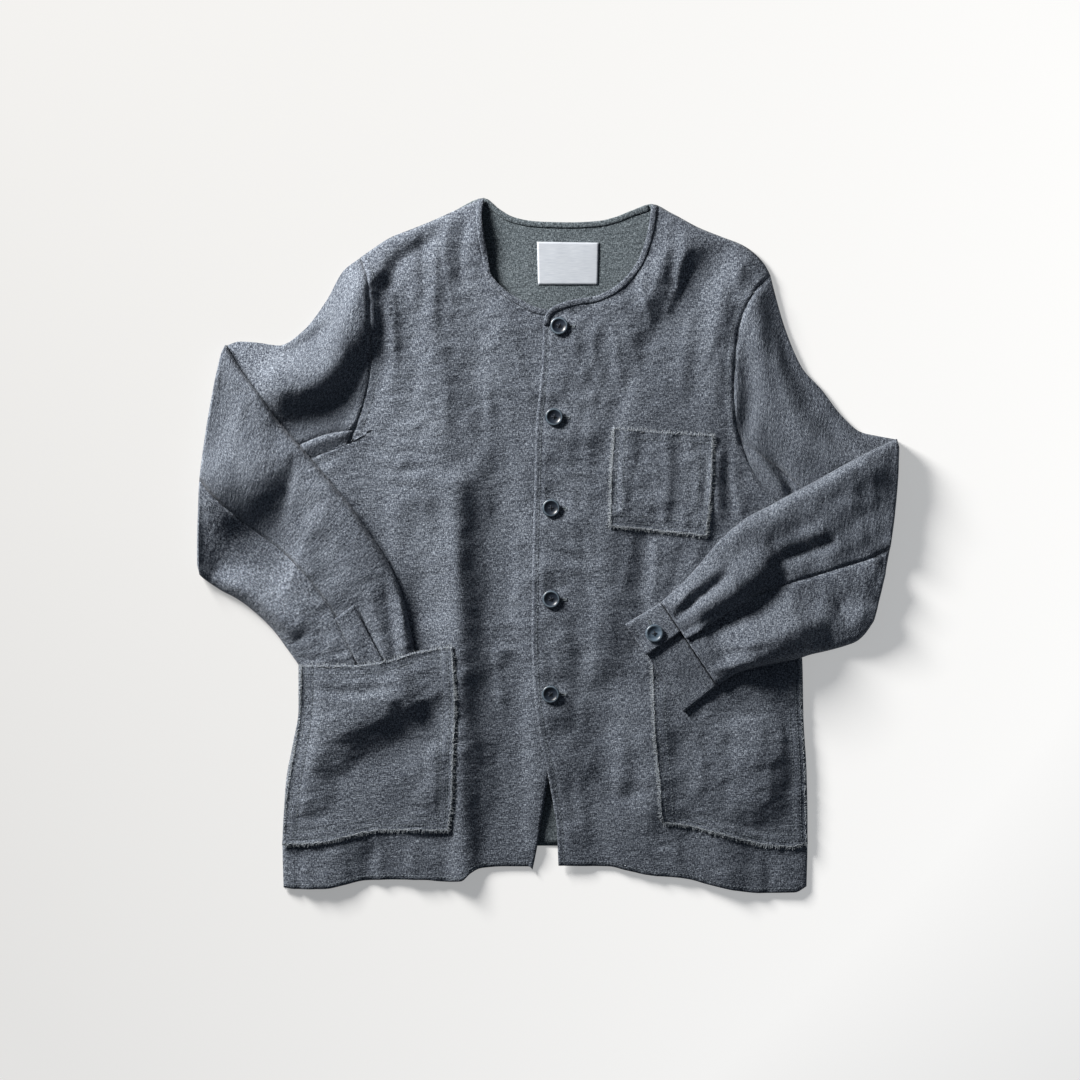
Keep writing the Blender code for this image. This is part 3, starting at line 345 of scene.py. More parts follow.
# %% [markdown]
# The small folds are sharper and lower. They lie between the large ones, beside seams and at each
# button, where the cloth was pulled.

# %% Small folds of the lower layer
SMALL_FOLDS = [
    (5, 0.9, -180, 90, -150, 84, -118, 86, -92, 80), (4, -0.8, -176, 80, -146, 74, -112, 77),
    (4, 0.7, -168, 69, -138, 66, -104, 69, -74, 63), (4, -1.4, -147, 92, -149, 86, -151, 80),
    (5, -0.8, -160, 60, -120, 54, -86, 52), (6, 0.9, -150, 98, -120, 102, -96, 96),
    (9, 1.6, -150, 40, -146, -20, -138, -80), (8, -1.5, -132, 44, -124, -14, -118, -80),
    (7, 1.2, -108, 210, -96, 160, -100, 108), (8, -1.2, -136, 240, -128, 180, -132, 120),
    (6, 1.1, -60, 190, -54, 130, -58, 70), (9, -1.2, -40, 150, -36, 90, -40, 20),
    (7, 1.1, -34, -60, -40, -140, -36, -220), (9, -1.1, -26, -120, -28, -190, -24, -280),
    (8, 1.2, -48, -20, -44, -100, -50, -180), (5, 1.3, -90, 330, -100, 300, -96, 268),
    (6, -1.4, -76, 330, -84, 296, -82, 250), (7, -1.8, -170, 262, -162, 220, -164, 170),
    (6, 1.4, -156, 250, -150, 200, -152, 150), (5, 1.2, 8, 10, 22, -2, 40, -4),
    (5, -1.3, 6, -2, 26, -14, 48, -12), (4, 1.0, 4, 176, 24, 170, 44, 172),
    (5, -1.0, 2, 82, 24, 78, 46, 84), (4, 0.9, 2, -98, 26, -104, 52, -98),
    (6, -1.6, 134, 318, 130, 290, 124, 256), (5, 1.4, 142, 300, 134, 262, 122, 222),
    (8, -0.8, 160, 240, 150, 200, 152, 150), (9, 0.9, 176, 206, 170, 150, 176, 100),
    (6, 1.2, 60, 250, 50, 200, 36, 150), (7, -1.2, 44, 150, 34, 90, 38, 30),
    (5, -2.2, 187, 108, 184, 70, 188, 30), (5, 1.6, 176, 100, 172, 60, 178, 20),
    (5, -1.6, 102, 10, 100, -20, 96, -50), (5, 1.6, 112, 8, 112, -24, 106, -60),
    (6, -1.2, 140, 2, 130, -36, 118, -76), (6, 1.4, 48, -20, 54, -80, 46, -150),
    (7, -1.3, 30, -60, 34, -130, 26, -200), (9, 2.0, 70, -180, 80, -220, 72, -262),
    (7, -2.0, 62, -240, 80, -252, 100, -240), (7, -1.5, 50, -270, 56, -310, 50, -350),
    (8, 1.6, 128, -300, 134, -330, 130, -370), (6, -1.6, 222, -306, 226, -330, 222, -360),
    (6, 1.3, -236, -304, -238, -330, -234, -360), (5, 1.2, -110, 322, -108, 270, -112, 214),
    (6, -1.2, -122, 320, -121, 268, -124, 212), (3, 1.1, -54, -82, -34, -78, -16, -84),
    (3, -1.1, -56, -92, -36, -98, -12, -94), (3, 1.1, -52, -112, -30, -106, -12, -116),
    (4, -1.2, -58, -130, -36, -124, -16, -134), (3, 1.1, -50, -150, -30, -156, -10, -148),
    (4, 1.2, 20, -20, 40, -26, 64, -18), (4, -1.2, 14, 60, 34, 66, 58, 58),
    (4, 1.2, 12, 150, 34, 144, 56, 150), (9, 0.8, 150, 240, 142, 190, 140, 140),
    (6, -1.4, 236, 214, 240, 200, 246, 180), (7, -1.8, -170, -296, -176, -324, -172, -360),
    (8, 1.8, -128, -296, -132, -324, -128, -370), (6, -1.5, -96, -300, -100, -330, -98, -370),
    (6, 2.0, -206, 236, -224, 222, -246, 214), (6, -1.8, -214, 226, -236, 204, -262, 192),
    (5, 1.5, -226, 160, -246, 150, -268, 152), (5, -1.6, -192, 130, -214, 126, -236, 120),
    (8, 1.8, 232, 232, 240, 180, 262, 140), (6, -1.8, 222, 220, 228, 170, 246, 124),
    (5, 1.5, 206, 150, 214, 110, 236, 78), (6, 2.0, 290, 126, 316, 104, 344, 98),
    (6, -1.8, 274, 128, 306, 96, 336, 88), (5, 1.6, 212, 88, 228, 68, 250, 44),
]
print("small folds:", len(SMALL_FOLDS))

# %% [markdown]
# Everything comes together in one height: the loft of the layer, both sets of folds, the pull of the
# buttons, the crumpling and the sunk seams of the armholes.

# %% Height of the lower layer
CLOTH, SEAM = 1.2, 0.3
LOFT, ROLL = 4.0, 26.0
HEM_LINE, HEM_SETTLE, HEM_LOFT = -345.0, 110.0, 0.5
SMALL_FOLD_GAIN, CRUMPLE_HEIGHT = 1.35, 1.9
# Depth or height, shift and spread of the dent above each button and of the swell below it.
BUTTON_DENT, BUTTON_SWELL = (-3.0, 4, 12, 15, 9), (1.8, 10, -18, 22, 10)
# Height and spread of the ridge beside a sunk seam, and of its groove.
SEAM_RIDGE, SEAM_RIDGE_AT, SEAM_RIDGE_SPREAD, SEAM_GROOVE, SEAM_GROOVE_SPREAD = 0.55, 4.0, 2.6, 0.9, 1.5
FRONT_BUTTONS = [(15, 219), (10, 128), (7, 37), (7, -54), (6.5, -149)]
SEAM_LINES = [np.array(line, float) for line in (ARMHOLE_RIGHT, ARMHOLE_LEFT)]


def lower_layer(plan):
    """Top of the fronts and upper arms over a plan of points, with folds, crumpling and sunk seams."""
    points = plan.reshape(-1, 2)
    border = np.vstack([ENVELOPE, ENVELOPE[:1]])
    distance = np.where(is_inside(points, ENVELOPE), nearest(points, border)[0], 0).reshape(plan.shape[:-1])
    settle = np.clip((plan[..., 1] - HEM_LINE) / HEM_SETTLE, 0, 1)
    near_edge = np.clip(distance / ROLL, 0, 1)
    height = LOFT * (HEM_LOFT + (1 - HEM_LOFT) * settle) * rise(distance, ROLL)
    height += fold_height(plan, LARGE_FOLDS, fade=False) * near_edge
    height += SMALL_FOLD_GAIN * fold_height(plan, SMALL_FOLDS) * near_edge**0.5
    for x, y in FRONT_BUTTONS:
        for size, dx, dy, wide, deep in (BUTTON_DENT, BUTTON_SWELL):
            across, down = (plan[..., 0] - x - dx) / wide, (plan[..., 1] - y - dy) / deep
            height += size * np.exp(-(across**2 + down**2))
    height += (CRUMPLE_HEIGHT * crumple(plan, 3) + puckers(plan, 5)) * near_edge**0.5
    for line in SEAM_LINES:
        away = nearest(points, through(line, np.linspace(0, 1, 40)))[0].reshape(plan.shape[:-1])
        height += SEAM_RIDGE * np.exp(-(((away - SEAM_RIDGE_AT) / SEAM_RIDGE_SPREAD) ** 2))
        height -= SEAM_GROOVE * np.exp(-((away / SEAM_GROOVE_SPREAD) ** 2))
    return CLOTH + SEAM + floored(height) + CLOTH


test = lower_layer(np.array([[[0.0, 100.0], [-90.0, -100.0], [-230.0, 200.0]]]))
print("top of the cloth at the chest, the long fold and the upper sleeve:", np.round(test, 1))

# %% [markdown]
# ## Linen
# The real cloth is a plain weave of uneven yarns, some nearly black and some pale, so from a step
# away it reads as a speckled blue grey. An image could show that, but a node material stays sharp at
# any distance. Two stretched noises stand for the warp and the weft, and follow each piece's own UV
# map, which is the flat cloth in metres: so the yarns turn with the sleeve as real ones do.

# %% Helpers for materials
WARP_PITCH, WEFT_PITCH = 0.0009, 0.0008
THREAD_RUN = 0.0032


def linked(tree, kind, inputs, **settings):
    """A new node with these settings; inputs are values, or outputs to link."""
    node = tree.nodes.new(kind)
    for key, value in settings.items():
        setattr(node, key, value)
    for key, value in inputs.items():
        if isinstance(value, bpy.types.NodeSocket):
            tree.links.new(value, node.inputs[key])
        else:
            node.inputs[key].default_value = value
    return node


def yarn_noise(tree, vector, across, along, detail=2.0, roughness=0.6):
    """Noise drawn out along the yarns: across and along are the sizes of its lumps."""
    scale = linked(tree, "ShaderNodeMapping", {"Vector": vector, "Scale": (1 / across, 1 / along, 1)})
    noise = linked(tree, "ShaderNodeTexNoise", {"Vector": scale.outputs[0], "Scale": 1.0, "Detail": detail,
                                                "Roughness": roughness})
    return noise.outputs["Factor" if "Factor" in noise.outputs else "Fac"]


def mathed(tree, operation, a, b=0.0, c=0.0):
    """The result of one sum on values or outputs."""
    return linked(tree, "ShaderNodeMath", {0: a, 1: b, 2: c}, operation=operation).outputs[0]


def new_material(name):
    """A new material, with its node tree and its shader."""
    material = bpy.data.materials.new(name)
    material.use_nodes = True
    return material, material.node_tree, material.node_tree.nodes["Principled BSDF"]


def coloured(tree, shader, value, *stops):
    """Colour a shader by a ramp over this value; each stop is its place and its colour."""
    ramp = tree.nodes.new("ShaderNodeValToRGB")
    elements = ramp.color_ramp.elements
    for element, (place, colour) in zip((elements[0], elements[1]), (stops[0], stops[-1])):
        element.position, element.color = place, (*colour, 1)
    for place, colour in stops[1:-1]:
        elements.new(place).color = (*colour, 1)
    tree.links.new(value, ramp.inputs[0])
    tree.links.new(ramp.outputs[0], shader.inputs["Base Color"])


print("yarns to a centimetre of warp:", round(0.01 / WARP_PITCH))

# %% [markdown]
# The yarns run through a ramp of three colours, and the same noise lifts them a little as bump.
# The inside of the back is the same cloth, a little greener and flatter.

# %% Linen material
def make_linen(name, dark, middle, pale, bump):
    """Speckled plain weave. The colours are those of its darkest, middle and palest yarns."""
    material, tree, shader = new_material(name)
    uv = linked(tree, "ShaderNodeUVMap", {}, uv_map="cloth").outputs[0]
    warp = yarn_noise(tree, uv, WARP_PITCH, THREAD_RUN, 1.0)
    weft = yarn_noise(tree, uv, THREAD_RUN, WEFT_PITCH, 1.0)
    speck = yarn_noise(tree, uv, 0.0008, 0.0007, 1.0)
    slubs = yarn_noise(tree, uv, 0.013, 0.0013, 2.0)
    broad = yarn_noise(tree, uv, 0.05, 0.07, 2.0)
    over = linked(tree, "ShaderNodeMapRange", {"Value": speck, "From Min": 0.42, "From Max": 0.58}).outputs[0]
    yarns = mathed(tree, "MULTIPLY_ADD", mathed(tree, "SUBTRACT", warp, weft), over, weft)
    grain = mathed(tree, "ADD", mathed(tree, "MULTIPLY", yarns, 0.58), mathed(tree, "MULTIPLY", speck, 0.32))
    cloth = mathed(tree, "MULTIPLY_ADD", slubs, 0.1, grain)
    toned = mathed(tree, "ADD", cloth, mathed(tree, "MULTIPLY_ADD", broad, 0.06, -0.03))
    coloured(tree, shader, toned, (0.41, dark), (0.5, middle), (0.6, pale))
    shader.inputs["Roughness"].default_value = 0.92
    shader.inputs["Specular IOR Level"].default_value = 0.12
    shader.inputs["Sheen Weight"].default_value = 0.08
    shader.inputs["Sheen Roughness"].default_value = 0.6
    pucker = yarn_noise(tree, uv, 0.009, 0.004, 3.0, 0.65)
    relief = mathed(tree, "ADD", mathed(tree, "MULTIPLY", cloth, 0.45), mathed(tree, "MULTIPLY", pucker, 0.9))
    bumped = linked(tree, "ShaderNodeBump", {"Height": relief, "Strength": bump, "Distance": 0.0016})
    tree.links.new(bumped.outputs[0], shader.inputs["Normal"])
    return material


LINEN = make_linen("linen", (0.01, 0.013, 0.022), (0.074, 0.087, 0.111), (0.285, 0.32, 0.37), 0.9)
LINEN_INSIDE = make_linen("linen_inside", (0.02, 0.027, 0.033), (0.072, 0.09, 0.102),
                          (0.22, 0.255, 0.28), 0.7)
print("linen nodes:", len(LINEN.node_tree.nodes))

# %% [markdown]
# ## Laying a piece
# A panel is made as a grid with Blender's own operator, and its points are moved to where the cloth
# lies. Solidify then gives it the real thickness of the linen, downwards, so that a raw edge has an
# edge to see. What lies on something else is lowered onto it with rays, like the real thing.

# %% Grids of cloth and what lies under them
LINEN_THICKNESS = 0.85
tops = {}


def tree_from(points):
    """A tree of a grid of points, to drop rays on."""
    rows, columns = points.shape[:2]
    quads = [(i * columns + j, i * columns + j + 1, (i + 1) * columns + j + 1, (i + 1) * columns + j)
             for i in range(rows - 1) for j in range(columns - 1)]
    return BVHTree.FromPolygons([tuple(p) for p in points.reshape(-1, 3)], quads)


def top_of(names, plan, reach=0.0):
    """Height of the highest named piece at each point of the plan, or within reach of it."""
    ring = [(0.0, 0.0)]
    if reach:
        ring += [(math.cos(a), math.sin(a)) for a in np.linspace(0, 2 * np.pi, 6, endpoint=False)]
    trees = [tops[name] for name in names]
    down = Vector((0, 0, -1))
    heights = np.zeros(plan.shape[:-1])
    for index in np.ndindex(heights.shape):
        for dx, dy in ring:
            start = Vector((plan[index][0] + reach * dx, plan[index][1] + reach * dy, 200.0))
            for tree in trees:
                hit = tree.ray_cast(start, down)[0]
                if hit is not None and hit.z > heights[index]:
                    heights[index] = hit.z
    return heights


def eased(height, floor, rounds):
    """The heights smoothed, and never below the floor."""
    height = np.maximum(height, floor)
    for _ in range(rounds):
        padded = np.pad(height, 1, mode="edge")
        around = (padded[:-2, 1:-1] + padded[2:, 1:-1] + padded[1:-1, :-2] + padded[1:-1, 2:]) / 4
        height = np.maximum((height + around) / 2, floor)
    return height


print("a step of 4 mm, eased once:", eased(np.array([[0.0, 0.0, 4.0]]), 0.0, 1).round(2))

# %% [markdown]
# A sheet of cloth is a grid with a UV map that is the flat cloth in metres, and a modifier that
# gives it its thickness.

# %% Sheets of cloth
def cloth_coordinates(points):
    """Where each point was on the flat cloth: run of the rows and columns, in metres."""
    across = np.linalg.norm(np.diff(points, axis=1), axis=2)
    down = np.linalg.norm(np.diff(points, axis=0), axis=2)
    u = np.concatenate([np.zeros((len(points), 1)), np.cumsum(across, axis=1)], axis=1)
    v = np.concatenate([np.zeros((1, points.shape[1])), np.cumsum(down, axis=0)], axis=0)
    middle = points.shape[1] // 2
    run_down = np.broadcast_to(v[:, middle:middle + 1], u.shape)
    return np.stack([u - u[:, middle:middle + 1], run_down], axis=2) * MM


def place_piece(name, bm, material, nodes=()):
    """Finish a bmesh that is already where it belongs, in metres."""
    mesh = bpy.data.meshes.new(name)
    bm.to_mesh(mesh)
    bm.free()
    mesh.materials.append(material)
    mesh.shade_smooth()
    piece = bpy.data.objects.new(name, mesh)
    bpy.context.scene.collection.objects.link(piece)
    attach(piece, "root")
    if nodes:
        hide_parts(*nodes)
    return piece


def cloth_sheet(name, points, nodes, material=LINEN, thickness=LINEN_THICKNESS, uv=None,
                shift=0.0):
    """A sheet through a grid of points, which are its outer face, with its thickness inside."""
    rows, columns = points.shape[:2]
    bm = bmesh.new()
    made = bmesh.ops.create_grid(bm, x_segments=columns - 1, y_segments=rows - 1, size=1)["verts"]
    for vert, point in zip(made, points.reshape(-1, 3)):
        vert.co = Vector(point) * MM
    highest = max(bm.faces, key=lambda face: face.calc_center_median().z)
    highest.normal_update()
    if highest.normal.z < 0:
        bmesh.ops.reverse_faces(bm, faces=bm.faces)
    piece = place_piece(name, bm, material, nodes)
    mesh = piece.data
    flat = (cloth_coordinates(points) if uv is None else uv).reshape(-1, 2) + shift
    layer = mesh.uv_layers.new(name="cloth")
    corners = np.zeros(len(mesh.loops), dtype=np.int32)
    mesh.loops.foreach_get("vertex_index", corners)
    layer.data.foreach_set("uv", flat[corners].astype(np.float32).ravel())
    wall = piece.modifiers.new("thickness", "SOLIDIFY")
    wall.thickness, wall.offset = thickness * MM, -1.0
    tops[name] = tree_from(points)
    return piece


def flat_area(piece):
    """Area of one face of a sheet, in square metres."""
    return sum(polygon.area for polygon in piece.data.polygons)


print("linen is", LINEN_THICKNESS, "mm thick")

# %% [markdown]
# ## Body
# The back is one panel and lies flat. The fronts are cut from the lower layer, and the left one
# rises over the edge of the right one by a thickness of cloth. The columns run with the warp, which
# is how a jacket is cut, so the long folds run along them.

# %% Cutting a panel
ARMHOLE_END, NECK_END = 0.30, 0.28
BACK_ROWS, BACK_COLUMNS, FRONT_ROWS = 100, 80, 200
# How far inside its edge each row of stitches runs, in millimetres.
HEM_ROW_IN, FRONT_ROW_IN, ARMHOLE_ROW_IN, BACK_HEM_ROW_IN = 4.0, 5.5, 6.5, 20.0
POCKET_ROWS_IN, POCKET_MOUTH_ROW_IN = (6.0, 13.0), 9.0


def even_rows(split, count):
    """Shares along an edge of two lines, with the split on a row."""
    before = max(int(round(count * split)), 2)
    after = np.linspace(split, 1, count - before + 1)[1:]
    return np.concatenate([np.linspace(0, split, before + 1), after])


def panel(neck, edge, shoulder, armhole, side, hem, rows, columns, outer_first):
    """The plan of a front, with a row at the end of its armhole and one at the end of its neckline."""
    t = np.unique(np.concatenate([even_rows(ARMHOLE_END, rows), [NECK_END]]))
    s = np.linspace(0, 1, columns + 1)
    inner = joined(neck, edge, NECK_END, t)
    outer = joined(armhole, side, ARMHOLE_END, t)
    if outer_first:
        return patch(through(shoulder[::-1], s), through(hem, s), outer, inner)
    return patch(through(shoulder, s), through(hem, s), inner, outer)


def raise_over_placket(plan):
    """1 where the left front lies on the right one, falling softly to 0 beyond its edge."""
    edge = through(FRONT_EDGE_RIGHT, np.linspace(0, 1, 60))
    inner_x = np.interp(-plan[..., 1], -edge[:, 1], edge[:, 0], left=edge[0, 0], right=edge[-1, 0])
    away = np.clip((plan[..., 0] - inner_x - 4) / 26, 0, 1)
    return 1 - away * away * (3 - 2 * away)


def groove(plan, line, depth=0.55, width=1.3):
    """A shallow groove where a row of stitches pulls the cloth down."""
    away = nearest(plan.reshape(-1, 2), line)[0].reshape(plan.shape[:-1])
    return -depth * np.exp(-((away / width) ** 2))


print("rows of a front:", len(even_rows(ARMHOLE_END, FRONT_ROWS)))

# %% [markdown]
# The plans are laid at the height of the layer, and sink where a row of stitches pulls them down.

# %% Back and fronts
t, s = even_rows(ARMHOLE_END, BACK_ROWS), np.linspace(0, 1, BACK_COLUMNS + 1)
back_plan = patch(
    through(SHOULDER_RIGHT[::-1] + NECK_BACK[1:-1] + SHOULDER_LEFT, s), through(HEM_BACK, s),
    joined(ARMHOLE_RIGHT, SIDE_RIGHT, ARMHOLE_END, t), joined(ARMHOLE_LEFT, SIDE_LEFT, ARMHOLE_END, t))
back_points = stacked(back_plan, 0.95 + 0.22 * crumple(back_plan, 9))
back = cloth_sheet("back_cloth", back_points, ["back"], LINEN_INSIDE, 0.7, back_plan * MM)

right_plan = panel(NECK_RIGHT, FRONT_EDGE_RIGHT, SHOULDER_RIGHT, ARMHOLE_RIGHT, SIDE_RIGHT, HEM_RIGHT,
                   FRONT_ROWS, 84, outer_first=True)
left_plan = panel(NECK_LEFT, FRONT_EDGE_LEFT, SHOULDER_LEFT, ARMHOLE_LEFT, SIDE_LEFT, HEM_LEFT,
                  FRONT_ROWS, 88, outer_first=False)
RIGHT_HEM_STITCH = beside(through(HEM_RIGHT, np.linspace(0, 1, 60)), HEM_ROW_IN)
LEFT_HEM_STITCH = beside(through(HEM_LEFT, np.linspace(0, 1, 60)), HEM_ROW_IN)
FRONT_STITCH = beside(through(FRONT_EDGE_LEFT, np.linspace(0.01, 1, 90)), FRONT_ROW_IN)
SIDE_SEAM = np.array([(-245.0, -292.0), (-245.5, -320.0), (-246.0, -348.0)])
right_top = (lower_layer(right_plan) + groove(right_plan, RIGHT_HEM_STITCH)
             + groove(right_plan, SIDE_SEAM, 1.5, 2.4))
left_top = (lower_layer(left_plan) + 1.8 * raise_over_placket(left_plan)
            + groove(left_plan, LEFT_HEM_STITCH) + groove(left_plan, FRONT_STITCH, 1.2, 1.6))
front_right = cloth_sheet("front_right_cloth", stacked(right_plan, right_top), ["front_right"],
                          uv=right_plan * MM)
front_left = cloth_sheet("front_left_cloth", stacked(left_plan, left_top), ["front_left"],
                         uv=left_plan * MM, shift=0.31)
for piece in (back, front_right, front_left):
    print(piece.name, "area", round(flat_area(piece), 4))

# %% [markdown]
# ## Pockets
# Three square patches with raw, fraying edges. Each is a grid between its four drawn edges, laid on
# what is under it. The right hip pocket has a hand's worth of sleeve in it, so it bulges and its
# mouth stands open a little over the cuff.

# %% Pocket shapes
CHEST_POCKET = {
    "top": [(69, 118), (118, 113.5), (170, 110.5)],
    "bottom": [(65, 18), (112, 13.5), (163, 8)],
    "left": [(69, 118), (66, 68), (65, 18)],
    "right": [(170, 110.5), (168, 60), (163, 8)],
}
HIP_POCKET_RIGHT = {
    "top": [(-243, -119.5), (-190, -119.5), (-157, -115), (-126, -106), (-91, -100)],
    "bottom": [(-262, -300), (-243, -300), (-219, -297.5), (-189.5, -290.5), (-160, -286), (-131, -286),
               (-95, -286.5)],
    "left": [(-243, -119.5), (-245, -165), (-250, -201), (-256, -233), (-259, -257), (-261, -286),
             (-262, -300)],
    "right": [(-91, -100), (-88, -165), (-90, -213), (-91, -252), (-95, -286.5)],
}
HIP_POCKET_LEFT = {
    "top": [(105, -97), (180, -98), (256, -103)],
    "bottom": [(119, -279), (139, -281), (165, -287), (193, -294.5), (221, -301), (246, -303), (264, -299)],
    "left": [(105, -97), (107, -125), (108, -161), (110, -199), (114, -237), (116, -270), (119, -279)],
    "right": [(256, -103), (259, -174), (262, -225), (263, -275), (264, -299)],
}
CHEST_FOLDS = [
    (6, 1.3, 122, 116, 124, 70, 118, 20), (5, -1.0, 134, 112, 136, 66, 130, 16),
    (5, -1.2, 100, 108, 96, 66, 98, 24), (4, 0.9, 84, 100, 80, 60, 84, 26),
    (4, 1.0, 150, 100, 154, 60, 148, 24), (5, -1.4, 96, 22, 108, 26, 124, 20),
]
LEFT_HIP_FOLDS = [
    (30, 5.5, 208, -170, 212, -220, 206, -280), (14, -3.0, 250, -150, 252, -210, 250, -285),
    (12, -2.2, 130, -150, 134, -210, 130, -262), (6, 0.9, 150, -180, 158, -220, 150, -262),
    (6, -0.9, 182, -170, 186, -220, 180, -270),
]
RIGHT_HIP_FOLDS = [
    (34, 6.5, -248, -206, -202, -182, -160, -160, -124, -142),
    (34, -5.0, -200, -266, -158, -232, -118, -202), (34, 4.0, -98, -196, -98, -236, -104, -268),
    (26, 3.0, -240, -200, -244, -270), (7, 1.6, -150, -136, -134, -150, -128, -172),
    (8, -2.0, -118, -140, -106, -158, -106, -180),
    (5, 0.8, -240, -134, -190, -138, -140, -130, -104, -116),
    (5, -0.8, -238, -143, -190, -147, -140, -139), (5, 0.8, -232, -153, -190, -156, -160, -150),
]
POCKET_FOLD_GAIN, POCKET_CRUMPLE = 1.3, 1.2
print("pocket folds:", len(CHEST_FOLDS) + len(LEFT_HIP_FOLDS) + len(RIGHT_HIP_FOLDS))

# %% [markdown]
# A pocket is lowered onto what is under it and eased. Its stitched line is sunk, and its raw edge
# curls up a little.

# %% Laying a pocket
def four_edges(edges, rows, columns):
    """The plan of a piece that is drawn by its four edges."""
    t, s = np.linspace(0, 1, rows + 1), np.linspace(0, 1, columns + 1)
    return patch(through(edges["top"], s), through(edges["bottom"], s),
                 through(edges["left"], t), through(edges["right"], t))


def edge_distance(plan):
    """How far each point of a grid is from the sides and bottom of its own plan."""
    border = np.concatenate([plan[:, 0], plan[-1], plan[::-1, -1]])
    return nearest(plan.reshape(-1, 2), border)[0].reshape(plan.shape[:-1])


def pocket_sheet(name, node, edges, under, folds, seed, smooth, rows, columns, reach=1.0, band=13.5):
    """A patch pocket: sewn down along a line inside its raw edge, and free at its mouth."""
    plan = four_edges(edges, rows, columns)
    floor = top_of(under, plan, reach) + SEAM
    lying = eased(floor, floor, smooth)
    inside = edge_distance(plan)
    lively = np.clip((inside - 6) / 16, 0, 1)
    fine = (POCKET_CRUMPLE * crumple(plan, seed) + puckers(plan, seed)) * np.clip(inside / 10, 0.2, 1)
    form = POCKET_FOLD_GAIN * fold_height(plan, folds) * lively + fine
    sewn = -0.4 * np.exp(-(((inside - 5.0) / 1.3) ** 2)) - 1.1 * np.exp(-(((inside - band) / 1.7) ** 2))
    curl = 0.5 * np.clip(1 - inside / 5, 0, 1) * (1 + soft_noise(plan, 7, seed + 1))
    top = lying + LINEN_THICKNESS + np.maximum(form + sewn + curl + 0.35, 0)
    uv = (plan - plan[0, 0]) * MM
    return cloth_sheet(name, stacked(plan, top), [node], uv=uv, shift=0.1 * seed), plan


chest, chest_plan = pocket_sheet(
    "chest_pocket_cloth", "chest_pocket", CHEST_POCKET, ["front_left_cloth"], CHEST_FOLDS,
    seed=5, smooth=6, rows=52, columns=52, band=7.0)
hip_left, hip_left_plan = pocket_sheet(
    "hip_pocket_left_cloth", "hip_pocket_left", HIP_POCKET_LEFT, ["front_left_cloth"], LEFT_HIP_FOLDS,
    seed=6, smooth=6, rows=84, columns=66)
print("pocket areas:", round(flat_area(chest), 4), round(flat_area(hip_left), 4))

# %% [markdown]
# ## Sleeves
# A sleeve is two strips, the top sleeve and the under sleeve, sewn into a tube. The tube is a list of
# sections from edge A to edge B, each with a front wall and a back wall. At the elbow the sleeve is
# folded back over itself: the sections turn half way round the crease, and the back comes on top.

# %% Sections of both sleeves
UPPER_ARM_RIGHT = [
    (-184, 288, -194, 103, 1.0, 0, 0.50, 0.933, 0),
    (-201, 275, -209, 96, 0.65, 0, 0.50, 0.90, 0),
    (-218, 245, -225, 90, 0.35, 0, 0.51, 0.87, 0),
    (-241, 215, -248, 78, 0.12, 0, 0.52, 0.84, 0),
    (-265, 200, -272, 58, 0.0, 0, 0.54, 0.82, 0),
    (-288, 203, -297, 35, 0.0, 3, 0.56, 0.80, 0),
    (-305, 204, -322, 5, 0.0, 6, 0.58, 0.80, 0),
    (-318, 200, -344, -30, 0.0, 8, 0.60, 0.80, 0),
]
FOREARM_RIGHT = [
    (-318, 200, -344, -30, 0.0, 8, 0.60, 0.80, 4.8),
    (-304, 177, -341, -33, 0.0, 7, 0.60, 0.80, 5.1),
    (-285, 151, -336, -37, 0.0, 5, 0.60, 0.80, 5.4),
    (-269, 128, -329, -42, 0.0, 3, 0.59, 0.80, 5.4),
    (-250, 106, -321, -47, 0.0, 1, 0.59, 0.80, 5.4),
    (-231, 84, -311, -52, 0.0, 0, 0.58, 0.80, 5.4),
    (-212, 62, -300, -59, 0.0, 0, 0.57, 0.80, 5.4),
    (-190, 35, -289, -68, 0.0, 0, 0.56, 0.80, 5.4),
    (-173, 10, -278, -78, 0.0, 0, 0.55, 0.80, 5.1),
    (-158, -13, -268, -89, 0.0, 0, 0.55, 0.80, 4.8),
    (-147, -35, -259, -101, 0.0, 0, 0.54, 0.80, 4.4),
    (-140, -56, -250, -113, 0.0, 0, 0.54, 0.80, 4.1),
    (-135, -77, -241, -126, 0.0, 0, 0.54, 0.80, 3.7),
    (-131, -96, -232, -140, 0.0, 0, 0.54, 0.80, 3.1),
    (-129, -112, -224, -153, 0.0, 0, 0.54, 0.80, 2.4),
]
UPPER_ARM_LEFT = [
    (227, 270, 199, 99, 1.0, 0, 0.50, 0.933, 0),
    (232, 250, 206, 78, 0.65, 0, 0.50, 0.88, 0),
    (242, 216, 218, 58, 0.35, 0, 0.51, 0.80, 0),
    (259, 177, 234, 42, 0.12, 0, 0.52, 0.76, 0),
    (278, 156, 252, 22, 0.0, 0, 0.54, 0.75, 0),
    (298, 130, 272, -6, 0.0, 0, 0.55, 0.75, 0),
    (318, 113, 292, -34, 0.0, 0, 0.56, 0.75, 0),
    (336, 109, 309, -59, 0.0, 4, 0.58, 0.75, 0),
    (352, 106, 325, -83, 0.0, 7, 0.585, 0.75, 0),
]
